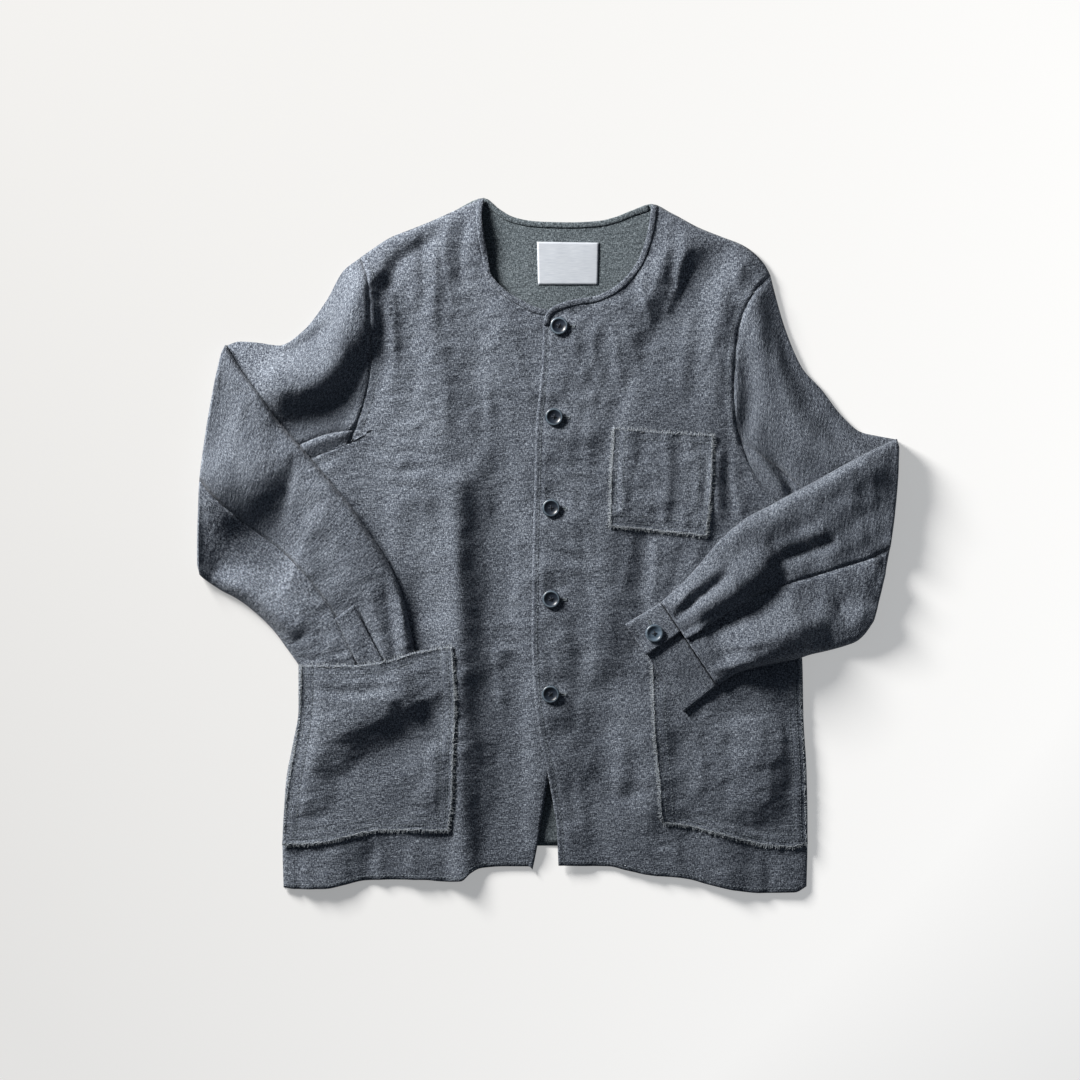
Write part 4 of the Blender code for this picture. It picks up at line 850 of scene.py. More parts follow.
FOREARM_LEFT = [
    (352, 106, 325, -83, 0.0, 7, 0.585, 0.75, 4.8),
    (336, 99, 320, -90, 0.0, 5, 0.58, 0.75, 5.4),
    (318, 90, 312, -97, 0.0, 3, 0.57, 0.75, 5.8),
    (299, 80, 302, -101, 0.0, 1, 0.56, 0.75, 6.1),
    (280, 69, 292, -104, 0.0, 0, 0.55, 0.75, 6.1),
    (260, 58, 280, -107, 0.0, 0, 0.54, 0.75, 6.1),
    (241, 48, 266, -110, 0.0, 0, 0.53, 0.75, 6.1),
    (223, 38, 252, -114, 0.0, 0, 0.52, 0.75, 6.1),
    (205, 29, 237, -117, 0.0, 0, 0.51, 0.75, 5.8),
    (189, 17, 222, -120, 0.0, 0, 0.49, 0.75, 5.8),
    (173, 2, 208, -123, 0.0, 0, 0.46, 0.75, 5.8),
    (157, -17, 195, -127, 0.0, 0, 0.43, 0.75, 5.6),
    (139, -37, 184, -133, 0.0, 0, 0.40, 0.75, 5.0),
    (117, -57, 173, -141, 0.0, 0, 0.37, 0.75, 4.2),
]
VENT_NONE = [(0.0, 0.0)] * 2
VENT_LEFT = [(0.0, 0.0)] * 8 + [(1.6, 1.0), (3.0, 6.0), (3.6, 8.0), (3.8, 8.0), (3.8, 8.0), (3.4, 7.0)]

# %% [markdown]
# The forearms carry the folds that show most: the hollow at the elbow, the long roll along the upper
# edge, and the pleats that gather the sleeve into its cuff.

# %% Folds of the forearms
FOREARM_FOLDS_RIGHT = [
    (34, 9.0, -350, 52, -306, 70, -256, 60), (34, -9.0, -346, -14, -298, -8, -250, -26),
    (18, 2.5, -240, 80, -214, 42, -186, -2, -166, -50),
    (19, 8.5, -332, -36, -304, -46, -278, -66, -250, -98), (5, 2.4, -150, -26, -141, -66, -137, -118),
    (4, -2.6, -160, -36, -152, -78, -146, -124), (5, 2.2, -176, -40, -164, -82, -157, -126),
    (4, -2.2, -192, -54, -178, -92, -170, -130), (6, 0.8, -338, 70, -310, 58, -276, 44),
    (7, -0.8, -334, 36, -306, 14, -270, 2), (5, 1.0, -238, 50, -214, 20, -190, -24),
    (6, -1.2, -256, 40, -228, 4, -206, -40), (5, 1.1, -272, -30, -248, -60, -226, -100),
    (5, -1.1, -260, -20, -236, -52, -214, -92),
]
FOREARM_FOLDS_LEFT = [
    (17, 2.5, 336, 82, 292, 62, 250, 38, 212, 10), (18, -2.5, 262, 10, 244, -6, 224, -22),
    (15, 6.0, 232, -6, 204, -30, 172, -54, 142, -76),
    (13, -8.0, 244, -22, 228, -45, 198, -66, 158, -86),
    (19, 8.5, 296, -62, 252, -86, 210, -104, 182, -118), (5, 2.4, 184, -14, 148, -44, 126, -64),
    (4, -2.6, 180, 0, 144, -28, 121, -56), (4, -3.8, 186, -28, 154, -53, 130, -74),
    (24, -6.0, 356, -18, 340, -30), (14, 4.0, 334, -60, 308, -76, 286, -90),
    (6, 0.7, 336, 56, 300, 36, 268, 16), (6, -0.7, 338, 42, 306, 22, 276, 2),
    (7, 3.0, 230, -2, 262, 9, 292, 20), (5, -4.0, 224, -22, 246, -11, 270, -3, 294, 5),
    (6, 0.7, 340, 22, 306, 4, 276, -14), (4, 1.2, 256, -76, 226, -92, 196, -104),
    (5, 2.2, 216, -116, 190, -119, 166, -126), (4, -2.0, 222, -102, 196, -106, 176, -110),
]
CREASE_RADIUS, CREASE_REACH = 0.8, 2.5
FOREARM_FOLD_GAIN, FOREARM_CRUMPLE, FOREARM_LOFT_GAIN = 1.2, 1.7, 1.25
BACK_SEAM_DEPTH, BACK_SEAM_WIDTH = 1.4, 1.6
ROLLS_RIGHT, ROLLS_LEFT = (7.0, 22.0), (12.0, 9.0)
print("folds:", len(LARGE_FOLDS) + len(SMALL_FOLDS) + len(FOREARM_FOLDS_RIGHT) + len(FOREARM_FOLDS_LEFT))

# %% [markdown]
# `make_sleeve` walks down the upper arm, half way round the crease and back along the forearm. At
# each section it takes points from edge A to edge B on the front wall and on the back wall, and
# parts them at the two seams.

# %% Building a sleeve
def section_line(row, armhole, shares, sign):
    """Plan of one section from edge A to edge B, bowed outwards and bent like the armhole."""
    a, b = np.array(row[0:2]), np.array(row[2:4])
    along = (b - a) / np.linalg.norm(b - a)
    outwards = np.array([along[1], -along[0]]) * sign
    straight = a + shares[:, None] * (b - a) + (4 * row[5] * shares * (1 - shares))[:, None] * outwards
    first, last = np.array(armhole[0]), np.array(armhole[-1])
    return straight + row[4] * (through(armhole, shares) - (first + shares[:, None] * (last - first)))


def edge_shares(count, low, high):
    """Shares from low to high, closer together at whichever end is an edge of the sleeve."""
    u = np.linspace(0, 1, count + 1)
    if low == 0:
        u = 1 - np.cos(u * np.pi / 2)
    elif high == 1:
        u = np.sin(u * np.pi / 2)
    return low + (high - low) * u


def make_sleeve(name, upper, forearm, armhole, sign, folds, under, vent, counts, seed, rolls):
    """Both strips of a sleeve, as grids of outer points: (top sleeve, under sleeve)."""
    upper_rows = through(upper, np.linspace(0, 1, counts[0]))
    forearm_rows = through(forearm, np.linspace(0, 1, counts[1]))
    down, stations = np.linspace(0, 1, counts[1]), np.linspace(0, 1, len(vent))
    vents = np.stack([np.interp(down, stations, [v[k] for v in vent]) for k in (0, 1)], axis=1)
    dense, wide = np.linspace(0, 1, 130), np.linspace(0, 1, 44)
    skin = np.stack([section_line(row, armhole, dense, sign) for row in upper_rows])
    skin = stacked(skin, lower_layer(skin))
    tops[f"{name}_upper_arm"] = tree_from(skin)
    plan = np.stack([section_line(row, armhole, wide, sign) for row in forearm_rows])
    floor = top_of(under + [f"{name}_upper_arm"], plan, 3.0) + SEAM
    floor[0] = np.interp(wide, dense, skin[-1, :, 2]) + 2 * CREASE_RADIUS
    base = eased(floor, floor, 120)
    plan = np.stack([section_line(row, armhole, dense, sign) for row in forearm_rows])
    widths = np.linalg.norm(forearm_rows[:, 2:4] - forearm_rows[:, 0:2], axis=1)[:, None]
    near = np.minimum(dense * widths / rolls[0], (1 - dense) * widths / rolls[1])
    form = FOREARM_FOLD_GAIN * fold_height(plan, folds) * np.clip(1.5 * near, 0, 1)
    form += (FOREARM_CRUMPLE * crumple(plan, seed) + puckers(plan, seed)) * np.clip(3 * near, 0, 1)
    form += FOREARM_LOFT_GAIN * forearm_rows[:, 8:9] * rise(near, 1.0)
    from_seam = np.abs(dense - forearm_rows[:, 6:7]) * widths
    form -= BACK_SEAM_DEPTH * np.exp(-((from_seam / BACK_SEAM_WIDTH) ** 2))
    form = floored(form)

    def upper_points(number, shares, wall):
        line = section_line(upper_rows[number], armhole, shares, sign)
        return stacked(line, 0.05 if wall == "back" else np.interp(shares, dense, skin[number, :, 2]))

    def forearm_points(index, shares, wall, lift=0.0):
        line = section_line(forearm_rows[index], armhole, shares, sign)
        low = np.interp(shares, wide, base[index])
        if wall == "front":
            return stacked(line, low)
        return stacked(line, low + 2 * CLOTH + 2 * SEAM + np.interp(shares, dense, form[index]) + lift)

    def points_at(number, shares, wall, lift=0.0):
        past = number - (len(upper_rows) - 1)
        if past <= 0:
            return upper_points(number, shares, wall)
        if past >= counts[2]:
            return forearm_points(past - counts[2], shares, wall, lift)
        angle = math.pi * past / counts[2]
        along = upper_rows[-1][2:4] - upper_rows[-1][0:2]
        along = along / np.linalg.norm(along)
        outwards = np.array([along[1], -along[0], 0]) * sign
        ends = np.clip(np.minimum(shares, 1 - shares) / 0.04, 0.1, 1)[:, None]
        low, high = upper_points(len(upper_rows) - 1, shares, wall), forearm_points(0, shares, wall)
        radius = (high - low)[:, 2:] / 2
        swing = math.sin(angle) * np.minimum(radius, CREASE_REACH) * ends * outwards
        return (low + high) / 2 + swing - math.cos(angle) * radius * np.array([0, 0, 1])

    def at_edge(number, share):
        share = np.array([share])
        return (points_at(number, share, "front") + points_at(number, share, "back")) / 2

    strips = [], []
    for number in range(len(upper_rows) + counts[2] + len(forearm_rows) - 1):
        past = number - (len(upper_rows) - 1) - counts[2]
        row = forearm_rows[max(past, 0)] if past > -counts[2] else upper_rows[number]
        back_seam, front_seam = row[6], row[7]
        width = np.linalg.norm(row[2:4] - row[0:2])
        lift, overlap = vents[past] if past >= 0 else (0.0, 0.0)
        top_back = edge_shares(30, 0, back_seam + overlap / width)
        lifts = (lift * (top_back / top_back[-1]) ** 3)[1:]
        strips[0].append(np.concatenate([
            points_at(number, top_back[1:], "back", lifts if past >= 0 else 0.0)[::-1],
            at_edge(number, 0.0), points_at(number, edge_shares(24, 0, front_seam)[1:], "front")]))
        strips[1].append(np.concatenate([
            points_at(number, edge_shares(14, front_seam, 1)[:-1], "front"), at_edge(number, 1.0),
            points_at(number, edge_shares(26, back_seam, 1)[:-1], "back")[::-1]]))
    return np.stack(strips[0]), np.stack(strips[1])


print("shares that crowd at an edge:", edge_shares(3, 0, 0.5).round(3))

# %% [markdown]
# The right sleeve lies on the right front. The left one lies on the left front and its pockets,
# and its vent stands open beside the cuff.

# %% Both sleeves
right_top_strip, right_under_strip = make_sleeve(
    "sleeve_right", UPPER_ARM_RIGHT, FOREARM_RIGHT, ARMHOLE_RIGHT, 1, FOREARM_FOLDS_RIGHT,
    ["front_right_cloth"], VENT_NONE, (40, 130, 10), 21, ROLLS_RIGHT)
sleeve_right_top = cloth_sheet("sleeve_right_top_cloth", right_top_strip, ["sleeve_right_top"], shift=0.52)
sleeve_right_under = cloth_sheet("sleeve_right_under_cloth", right_under_strip,
                                 ["sleeve_right_under"], shift=0.77)
left_top_strip, left_under_strip = make_sleeve(
    "sleeve_left", UPPER_ARM_LEFT, FOREARM_LEFT, ARMHOLE_LEFT, -1, FOREARM_FOLDS_LEFT,
    ["front_left_cloth", "hip_pocket_left_cloth", "chest_pocket_cloth"],
    VENT_LEFT, (40, 120, 10), 22, ROLLS_LEFT)
sleeve_left_top = cloth_sheet("sleeve_left_top_cloth", left_top_strip, ["sleeve_left_top"], shift=0.13)
sleeve_left_under = cloth_sheet("sleeve_left_under_cloth", left_under_strip,
                                ["sleeve_left_under"], shift=0.91)
for piece in (sleeve_right_top, sleeve_right_under, sleeve_left_top, sleeve_left_under):
    print(piece.name, "area", round(flat_area(piece), 4))

# %% [markdown]
# ## Cuffs
# A cuff is a band of two layers. Its buttoned end lies over its other end, on top, and the band goes
# on over edge A, underneath, and back round edge B. The right one is tucked into the hip pocket.

# %% Cuffs
CUFF_RIGHT = [(-128.6, -112.8, -223.6, -153.8), (-104, -147, -199, -188)]
CUFF_LEFT = [(116.4, -57.5, 172.4, -141.5), (81, -79, 140, -167)]
CUFF_TAB, CUFF_UNDERLAP, CUFF_CLOTH, CUFF_INSIDE = 0.35, 0.12, 1.4, 1.8
CUFF_SEWN = (0.12, 0.88)


def make_cuff(name, node, ends, under, lift, seed):
    """A cuff as one ring of outer points, from the tab round to the end under it."""
    start, end = np.array(ends[0], float), np.array(ends[1], float)
    depths = np.linspace(0, 1, 20)
    rows = [(*(start + depth * (end - start)), 0.0, 0.0) for depth in depths]
    wide = np.linspace(0, 1, 30)
    floor = top_of(under, np.stack([section_line(row, ARMHOLE_LEFT, wide, 1) for row in rows]), 2.0) + SEAM
    base = eased(floor, floor, 20)
    grid = []
    for row, line, depth in zip(rows, base, depths):
        stands = [(share, 3 * CUFF_CLOTH + CUFF_INSIDE + SEAM + lift * (share / CUFF_TAB) ** 0.6)
                  for share in np.linspace(CUFF_TAB, 0.012, 16)]
        stands += [(0.004, 2 * CUFF_CLOTH + CUFF_INSIDE), (0.0, CUFF_CLOTH + CUFF_INSIDE / 2), (0.006, 0.6)]
        stands += [(share, 0.0) for share in np.linspace(0.03, 0.97, 12)]
        stands += [(0.994, 0.7), (1.0, CUFF_CLOTH + CUFF_INSIDE / 2)]
        stands += [(0.994, 2 * CUFF_CLOTH + CUFF_INSIDE - 0.6)]
        stands += [(share, 2 * CUFF_CLOTH + CUFF_INSIDE) for share in np.linspace(0.975, CUFF_UNDERLAP, 34)]
        shares = np.array([share for share, _z in stands])
        plan = section_line(row, ARMHOLE_LEFT, shares, 1)
        height = np.interp(shares, wide, line) + [z for _s, z in stands]
        upper = np.array([z > CUFF_CLOTH + CUFF_INSIDE for _s, z in stands])
        sewn = sum(np.exp(-(((depth - at) / 0.05) ** 2)) for at in CUFF_SEWN)
        height = height + 0.35 * upper * (crumple(plan[None], seed)[0] - sewn)
        grid.append(stacked(plan, height))
    return cloth_sheet(name, np.stack(grid), [node], thickness=1.5, shift=0.05 * seed)


cuff_right = make_cuff("cuff_right_cloth", "cuff_right", CUFF_RIGHT, ["front_right_cloth"], 0.3, 31)
cuff_left = make_cuff("cuff_left_cloth", "cuff_left", CUFF_LEFT,
                      ["front_left_cloth", "hip_pocket_left_cloth"], 2.8, 32)
print("cuffs:", round(flat_area(cuff_right), 4), round(flat_area(cuff_left), 4))

# %% [markdown]
# ## The tucked cuff's placket and pocket
# The vent of the right sleeve is finished with a narrow strip, which runs into the pocket. The pocket
# is laid last, over all of that.

# %% Placket and right hip pocket
PLACKET_RIGHT = {
    "top": [(-208, -73), (-189, -59)],
    "bottom": [(-180, -130), (-158, -120)],
    "left": [(-208, -73), (-193, -104), (-180, -130)],
    "right": [(-189, -59), (-174, -90), (-158, -120)],
}
PLACKET_STANDS = 1.5
placket_plan = four_edges(PLACKET_RIGHT, 26, 10)
placket_floor = top_of(["sleeve_right_top_cloth", "sleeve_right_under_cloth"], placket_plan, 1.5) + SEAM
placket_top = eased(placket_floor, placket_floor, 12) + LINEN_THICKNESS + PLACKET_STANDS
placket_top += 0.15 * crumple(placket_plan, 41) + rise(edge_distance(placket_plan), 7.0)
placket = cloth_sheet("sleeve_placket_cloth", stacked(placket_plan, placket_top), ["sleeve_placket_right"],
                      shift=0.4)

BUTTON_RADIUS, BUTTON_HEIGHT = 9.0, 3.4
CUFF_BUTTON_LEFT, CUFF_BUTTON_RIGHT = (110, -88), (-147, -145)
x, y = CUFF_BUTTON_RIGHT
button_top = float(top_of(["cuff_right_cloth"], np.array([[(x, y)]], float))[0, 0]) + SEAM + BUTTON_HEIGHT
ring = np.array([[(x + r * math.cos(a), y + r * math.sin(a)) for a in np.linspace(0, 2 * np.pi, 17)]
                 for r in (0.01, BUTTON_RADIUS)])
tops["hidden_button"] = tree_from(stacked(ring, button_top))
hip_right, hip_right_plan = pocket_sheet(
    "hip_pocket_right_cloth", "hip_pocket_right", HIP_POCKET_RIGHT,
    ["front_right_cloth", "sleeve_right_top_cloth", "sleeve_right_under_cloth", "cuff_right_cloth",
     "sleeve_placket_cloth", "hidden_button"], RIGHT_HIP_FOLDS,
    seed=7, smooth=140, rows=84, columns=70, reach=2.0)
print("right hip pocket:", round(flat_area(hip_right), 4))

# %% [markdown]
# ## Neck
# The neckline is finished with a narrow strip of the same linen, turned over the raw edge. It is a
# strip of seven columns, slightly crowned, so that it catches the light along its middle.

# %% Neck binding
BINDING_WIDTH, BINDING_ROWS = 6.0, 70


def binding(name, node, neckline, low, high, turn, under, material, tuck=1e3):
    """A strip inside a neckline, from one share of it to another, thinner at the end where it is tucked."""
    edge = through(neckline, np.linspace(low, high, BINDING_ROWS))
    along = np.gradient(edge, axis=0)
    along /= np.linalg.norm(along, axis=1)[:, None]
    inwards = turn * np.stack([along[:, 1], -along[:, 0]], axis=1)
    across = np.linspace(0, 1, 7)
    plan = edge[:, None] + BINDING_WIDTH * across[None, :, None] * inwards[:, None]
    floor = top_of(under, plan, 1.2)
    crown = 1.25 * np.sqrt(np.clip(1 - (2 * across - 0.9) ** 2 * 0.8, 0, 1))
    full = np.clip((1 - np.linspace(0, 1, BINDING_ROWS)) * tuck, 0.35, 1)[:, None]
    top = eased(floor, floor, 2) + (0.3 + crown[None, :] * 0.8 + 0.12 * soft_noise(plan, 9, 4)) * full
    return cloth_sheet(name, stacked(plan, top), [node], material, 0.7)


binding_right = binding("neck_binding_right_cloth", "neck_binding_right", NECK_RIGHT, 0.01, 0.95, 1,
                        ["back_cloth", "front_right_cloth"], LINEN, tuck=6)
binding_left = binding("neck_binding_left_cloth", "neck_binding_left", NECK_LEFT + FRONT_EDGE_LEFT[1:3],
                       0.01, 1, -1, ["back_cloth", "front_left_cloth"], LINEN)
binding_back = binding("neck_binding_back_cloth", "neck_binding_back", NECK_BACK, 0.02, 0.98, 1,
                       ["back_cloth"], LINEN_INSIDE)
print("bindings:", [piece.name for piece in (binding_right, binding_left, binding_back)])

# %% [markdown]
# The label is a smooth pale tape inside the back neck. It stays bare.

# %% Label
def make_label_material():
    """Smooth pale tape with a very fine rib."""
    material, tree, shader = new_material("label")
    uv = linked(tree, "ShaderNodeUVMap", {}, uv_map="cloth").outputs[0]
    rib = yarn_noise(tree, uv, 0.012, 0.0006, 2.0)
    coloured(tree, shader, rib, (0.3, (0.36, 0.39, 0.44)), (0.7, (0.47, 0.5, 0.54)))
    shader.inputs["Roughness"].default_value = 0.6
    bumped = linked(tree, "ShaderNodeBump", {"Height": rib, "Strength": 0.15, "Distance": 0.0003})
    tree.links.new(bumped.outputs[0], shader.inputs["Normal"])
    return material


LABEL = {
    "top": [(-7, 304), (55, 303)],
    "bottom": [(-6, 261), (54, 261)],
    "left": [(-7, 304), (-6, 261)],
    "right": [(55, 303), (54, 261)],
}
label_plan = four_edges(LABEL, 20, 28)
label_top = top_of(["back_cloth"], label_plan) + 0.9 + 0.25 * soft_noise(label_plan, 24, 8)
label = cloth_sheet("neck_label_tape", stacked(label_plan, eased(label_top, label_top, 3)), ["neck_label"],
                    make_label_material(), 0.4)
print("label:", round(flat_area(label) * 1e4, 1), "cm2")

# %% [markdown]
# ## Buttons
# Five dark horn buttons close the front, and one each cuff. A button is turned on a lathe: a dished
# middle, a round rim and a slightly domed back. Spinning its profile about its axis does the same.
# Four holes and a cross of thread hold it. The holes are dark discs: the thread in them, and painted shade
# for their depth.

# %% Horn and thread
def make_horn(name, low, high):
    """Polished horn: faint streaks between two colours, and a clear shine."""
    material, tree, shader = new_material(name)
    place = linked(tree, "ShaderNodeTexCoord", {}).outputs["Object"]
    streak = linked(tree, "ShaderNodeMapping", {"Vector": place, "Scale": (60, 260, 60)})
    noise = linked(tree, "ShaderNodeTexNoise", {"Vector": streak.outputs[0], "Scale": 1.0, "Detail": 4.0})
    coloured(tree, shader, noise.outputs[0], (0.35, low), (0.75, high))
    shader.inputs["Roughness"].default_value = 0.38
    shader.inputs["Coat Weight"].default_value = 0.25
    shader.inputs["Coat Roughness"].default_value = 0.22
    return material


def make_thread(name, colour):
    """Matt sewing thread; also the dark painted shade of the buttonhole slits."""
    material, tree, shader = new_material(name)
    place = linked(tree, "ShaderNodeTexCoord", {}).outputs["Object"]
    noise = linked(tree, "ShaderNodeTexNoise", {"Vector": place, "Scale": 700.0, "Detail": 2.0})
    darker, paler = [c * 0.6 for c in colour], [c * 1.3 for c in colour]
    coloured(tree, shader, noise.outputs[0], (0.3, darker), (0.7, paler))
    shader.inputs["Roughness"].default_value = 0.85
    return material


HORN = make_horn("horn", (0.005, 0.008, 0.014), (0.024, 0.034, 0.052))
# A paler horn for the rims of the buttons: a painted highlight.
RIM_HIGHLIGHT_HORN = make_horn("rim_highlight_horn", (0.06, 0.085, 0.11), (0.14, 0.18, 0.22))
# A pale blue horn with a painted reflection of the sky, for the cuff button that tilts towards it.
SKY_REFLECTION_HORN = make_horn("sky_reflection_horn", (0.04, 0.065, 0.095), (0.14, 0.19, 0.25))
DARK_THREAD = make_thread("dark_thread", (0.018, 0.023, 0.034))
GREY_THREAD = make_thread("grey_thread", (0.15, 0.175, 0.2))
PALE_THREAD = make_thread("pale_thread", (0.4, 0.44, 0.48))
print("horn:", HORN.name, RIM_HIGHLIGHT_HORN.name, SKY_REFLECTION_HORN.name)

# %% [markdown]
# The profile runs from the dished middle over the rim to the back, in millimetres. The rim has a paler
# material, a painted highlight where it catches the light.

# %% Turning a button
BUTTON_PROFILE = [
    (0, 1.9), (3.4, 1.95), (5.4, 2.25), (6.3, 2.95), (7.0, 3.35), (7.8, 3.4), (8.5, 3.1), (8.9, 2.4),
    (9.0, 1.7), (8.7, 1.0), (7.6, 0.4), (5.5, 0.1), (0, 0.0),
]


def make_button(name, node, place, under, turn, material):
    """A button, with dark discs for its holes (their thread and painted shade) and its cross of thread,
    seated on what is under it.
    """
    seat = float(top_of(under, np.array([[place]], float), 7.0)[0, 0]) + 0.2
    centre = Vector((place[0], place[1], seat)) * MM
    bm = bmesh.new()
    verts = [bm.verts.new(Vector((r, 0, z)) * MM) for r, z in BUTTON_PROFILE]
    edges = [bm.edges.new(pair) for pair in zip(verts, verts[1:])]
    bmesh.ops.spin(bm, geom=verts + edges, axis=(0, 0, 1), cent=(0, 0, 0), steps=64, angle=2 * math.pi,
                   use_merge=True, use_duplicate=False)
    bmesh.ops.remove_doubles(bm, verts=bm.verts, dist=1e-6)
    bmesh.ops.recalc_face_normals(bm, faces=bm.faces)
    bmesh.ops.translate(bm, verts=bm.verts, vec=centre)
    button = place_piece(name, bm, material, [node])
    # The upward faces of the rim get the paler horn, a painted highlight.
    button.data.materials.append(RIM_HIGHLIGHT_HORN)
    for face in button.data.polygons:
        from_middle = (Vector(face.center) - centre).to_2d().length / MM
        if 7.3 < from_middle < 8.6 and face.normal.z > 0.2:
            face.material_index = 1
    holes, threads = bmesh.new(), bmesh.new()
    # Each hole is a dark disc on the dish: the thread in it, and painted shade for its depth.
    for k in range(4):
        angle = turn + math.pi / 4 + k * math.pi / 2
        spot = centre + Vector((2.0 * math.cos(angle), 2.0 * math.sin(angle), 1.93)) * MM
        bmesh.ops.create_cone(holes, cap_ends=True, segments=14, radius1=0.85 * MM, radius2=0.85 * MM,
                              depth=0.12 * MM, matrix=Matrix.Translation(spot))
    for angle in (turn + math.pi / 4, turn + 3 * math.pi / 4):
        spot = Matrix.Translation(centre + Vector((0, 0, 2.3)) * MM) @ Matrix.Rotation(angle, 4, "Z")
        size = Matrix.Diagonal((4.0 * MM, 0.7 * MM, 0.45 * MM, 1))
        bmesh.ops.create_cube(threads, size=1, matrix=spot @ size)
    place_piece(name + "_holes_thread_and_shade", holes, DARK_THREAD)
    place_piece(name + "_thread", threads, DARK_THREAD)


for number, place in enumerate(FRONT_BUTTONS, 1):
    make_button(f"front_button_{number}_horn", f"front_button_{number}", place, ["front_left_cloth"],
                0.3 * number, HORN)
# The left cuff button gets the pale horn: a painted reflection of the sky on the same dark horn.
make_button("cuff_button_left_horn", "cuff_button_left", CUFF_BUTTON_LEFT, ["cuff_left_cloth"],
            0.9, SKY_REFLECTION_HORN)
make_button("cuff_button_right_horn", "cuff_button_right", CUFF_BUTTON_RIGHT, ["cuff_right_cloth"],
            0.2, HORN)
print("buttons:", len(FRONT_BUTTONS) + 2)

# %% [markdown]
# ## Sewing
# Stitches are small, but a jacket without them looks moulded. Each row follows a line beside an edge,
# and every stitch is a short bar of thread laid on the cloth. The same helper works the buttonholes,
# whose stitches stand side by side across a slit.

# %% Rows of stitches
STITCH_PITCH, STITCH_LENGTH, STITCH_WIDTH = 3.4, 2.3, 0.5


def bar(bm, start, end, width, height):
    """A bar of thread from one point to another, in millimetres."""
    a, b = Vector(start), Vector(end)
    turn = (b - a).to_track_quat("X", "Z").to_matrix().to_4x4()
    size = Matrix.Diagonal(((b - a).length * MM, width * MM, height * MM, 1))
    bmesh.ops.create_cube(bm, size=1, matrix=Matrix.Translation((a + b) / 2 * MM) @ turn @ size)


def stitch_row(bm, line, under):
    """Stitches along a line in plan, on the highest of the pieces under it."""
    spots = resampled(line, STITCH_PITCH)
    for here, there in zip(spots, spots[1:]):
        along = (there - here) / max(np.linalg.norm(there - here), 1e-6)
        ends = np.array([[here, here + STITCH_LENGTH * along]])
        z = top_of(under, ends)[0]
        if z.min() > 0.5 and abs(z[0] - z[1]) < 1.6:
            bar(bm, (*ends[0, 0], z[0] + 0.05), (*ends[0, 1], z[1] + 0.05), STITCH_WIDTH, 0.4)


print("stitches to a centimetre:", round(10 / STITCH_PITCH, 1))

# %% [markdown]
# Rows run beside the front edge, the hems and the armholes, round the pockets and along the cuff.

# %% Sewing the rows
BODY = ["front_right_cloth", "front_left_cloth"]
PATCHES = [(chest_plan, "chest_pocket"), (hip_left_plan, "hip_pocket_left"),
           (hip_right_plan, "hip_pocket_right")]


def raw_edge(plan):
    """The sides and the bottom of a pocket, as one line."""
    return np.concatenate([plan[:, 0], plan[-1, 1:], plan[::-1, -1][1:]])


seams = bmesh.new()
stitch_row(seams, FRONT_STITCH, ["front_left_cloth"])
stitch_row(seams, RIGHT_HEM_STITCH, ["front_right_cloth"])
stitch_row(seams, LEFT_HEM_STITCH, ["front_left_cloth"])
armholes = [through(line, np.linspace(0, 1, 40)) for line in (ARMHOLE_RIGHT, ARMHOLE_LEFT)]
stitch_row(seams, beside(armholes[0], ARMHOLE_ROW_IN), ["front_right_cloth"])
stitch_row(seams, beside(armholes[1], -ARMHOLE_ROW_IN), ["front_left_cloth"])
back_hem = through(HEM_BACK, np.linspace(0.4, 0.6, 20))
stitch_row(seams, beside(back_hem, BACK_HEM_ROW_IN), ["back_cloth"])
for plan, name in PATCHES:
    for inset in POCKET_ROWS_IN:
        stitch_row(seams, resampled(beside(resampled(raw_edge(plan), 8.0), inset), 4.0), [name + "_cloth"])
    stitch_row(seams, beside(plan[0], -POCKET_MOUTH_ROW_IN), [name + "_cloth"])
first, last = np.array(CUFF_LEFT)
for depth in CUFF_SEWN:
    sewn_line = first + depth * (last - first)
    stitch_row(seams, np.array([sewn_line[:2], sewn_line[2:]]), ["cuff_left_cloth"])
stitching = place_piece("sewing_thread", seams, GREY_THREAD)
print("stitch faces:", len(stitching.data.polygons))

# %% [markdown]
# A buttonhole is a slit with a stitch beside a stitch along both sides, and a bar across its end. The slit is
# a dark bar of painted shade.

# %% Buttonholes
holes = bmesh.new()
slit_shade = bmesh.new()


def buttonhole(start, end, under):
    """A slit, drawn as a dark bar of painted shade, with close stitches on both sides, and a bar at its far
    end.
    """
    start, end = np.array(start, float), np.array(end, float)
    along = (end - start) / np.linalg.norm(end - start)
    side = np.array([-along[1], along[0]])
    for spot in resampled([start, end], 0.75):
        for s in (-1, 1):
            ends = np.array([[spot + s * 0.25 * side, spot + s * 1.5 * side]])
            z = top_of(under, ends)[0] + 0.15
            bar(holes, (*ends[0, 0], z[0]), (*ends[0, 1], z[1]), 0.62, 0.5)
    ends = np.array([[end - 1.7 * side, end + 1.7 * side]])
    z = top_of(under, ends)[0] + 0.25
    bar(holes, (*ends[0, 0], z[0]), (*ends[0, 1], z[1]), 0.9, 0.6)
    # The slit: a dark bar of painted shade along it.
    z = top_of(under, np.array([[start, end]]))[0] + 0.12
    bar(slit_shade, (*start, z[0]), (*end, z[1]), 0.5, 0.3)


for x, y in FRONT_BUTTONS:
    buttonhole((x - 3, y), (x + 15.5, y - 0.6), ["front_left_cloth"])
buttonhole(CUFF_BUTTON_LEFT, (104.5, -75), ["cuff_left_cloth"])
place_piece("buttonhole_thread", holes, GREY_THREAD)
place_piece("buttonhole_slit_shade", slit_shade, make_thread("slit_shadow", (0.008, 0.01, 0.016)))
print("buttonholes:", len(FRONT_BUTTONS) + 1)

# %% [markdown]
# ## Frayed edges
# The pockets were cut and left raw, so the weft pulls out as a short pale fringe. Each loose yarn is
# a thin cone of three sides. Most point out across the edge, and some have been pulled along it.

# %% Frayed pocket edges
PULLED_SHARE, LONG_SHARE = 0.14, 0.1


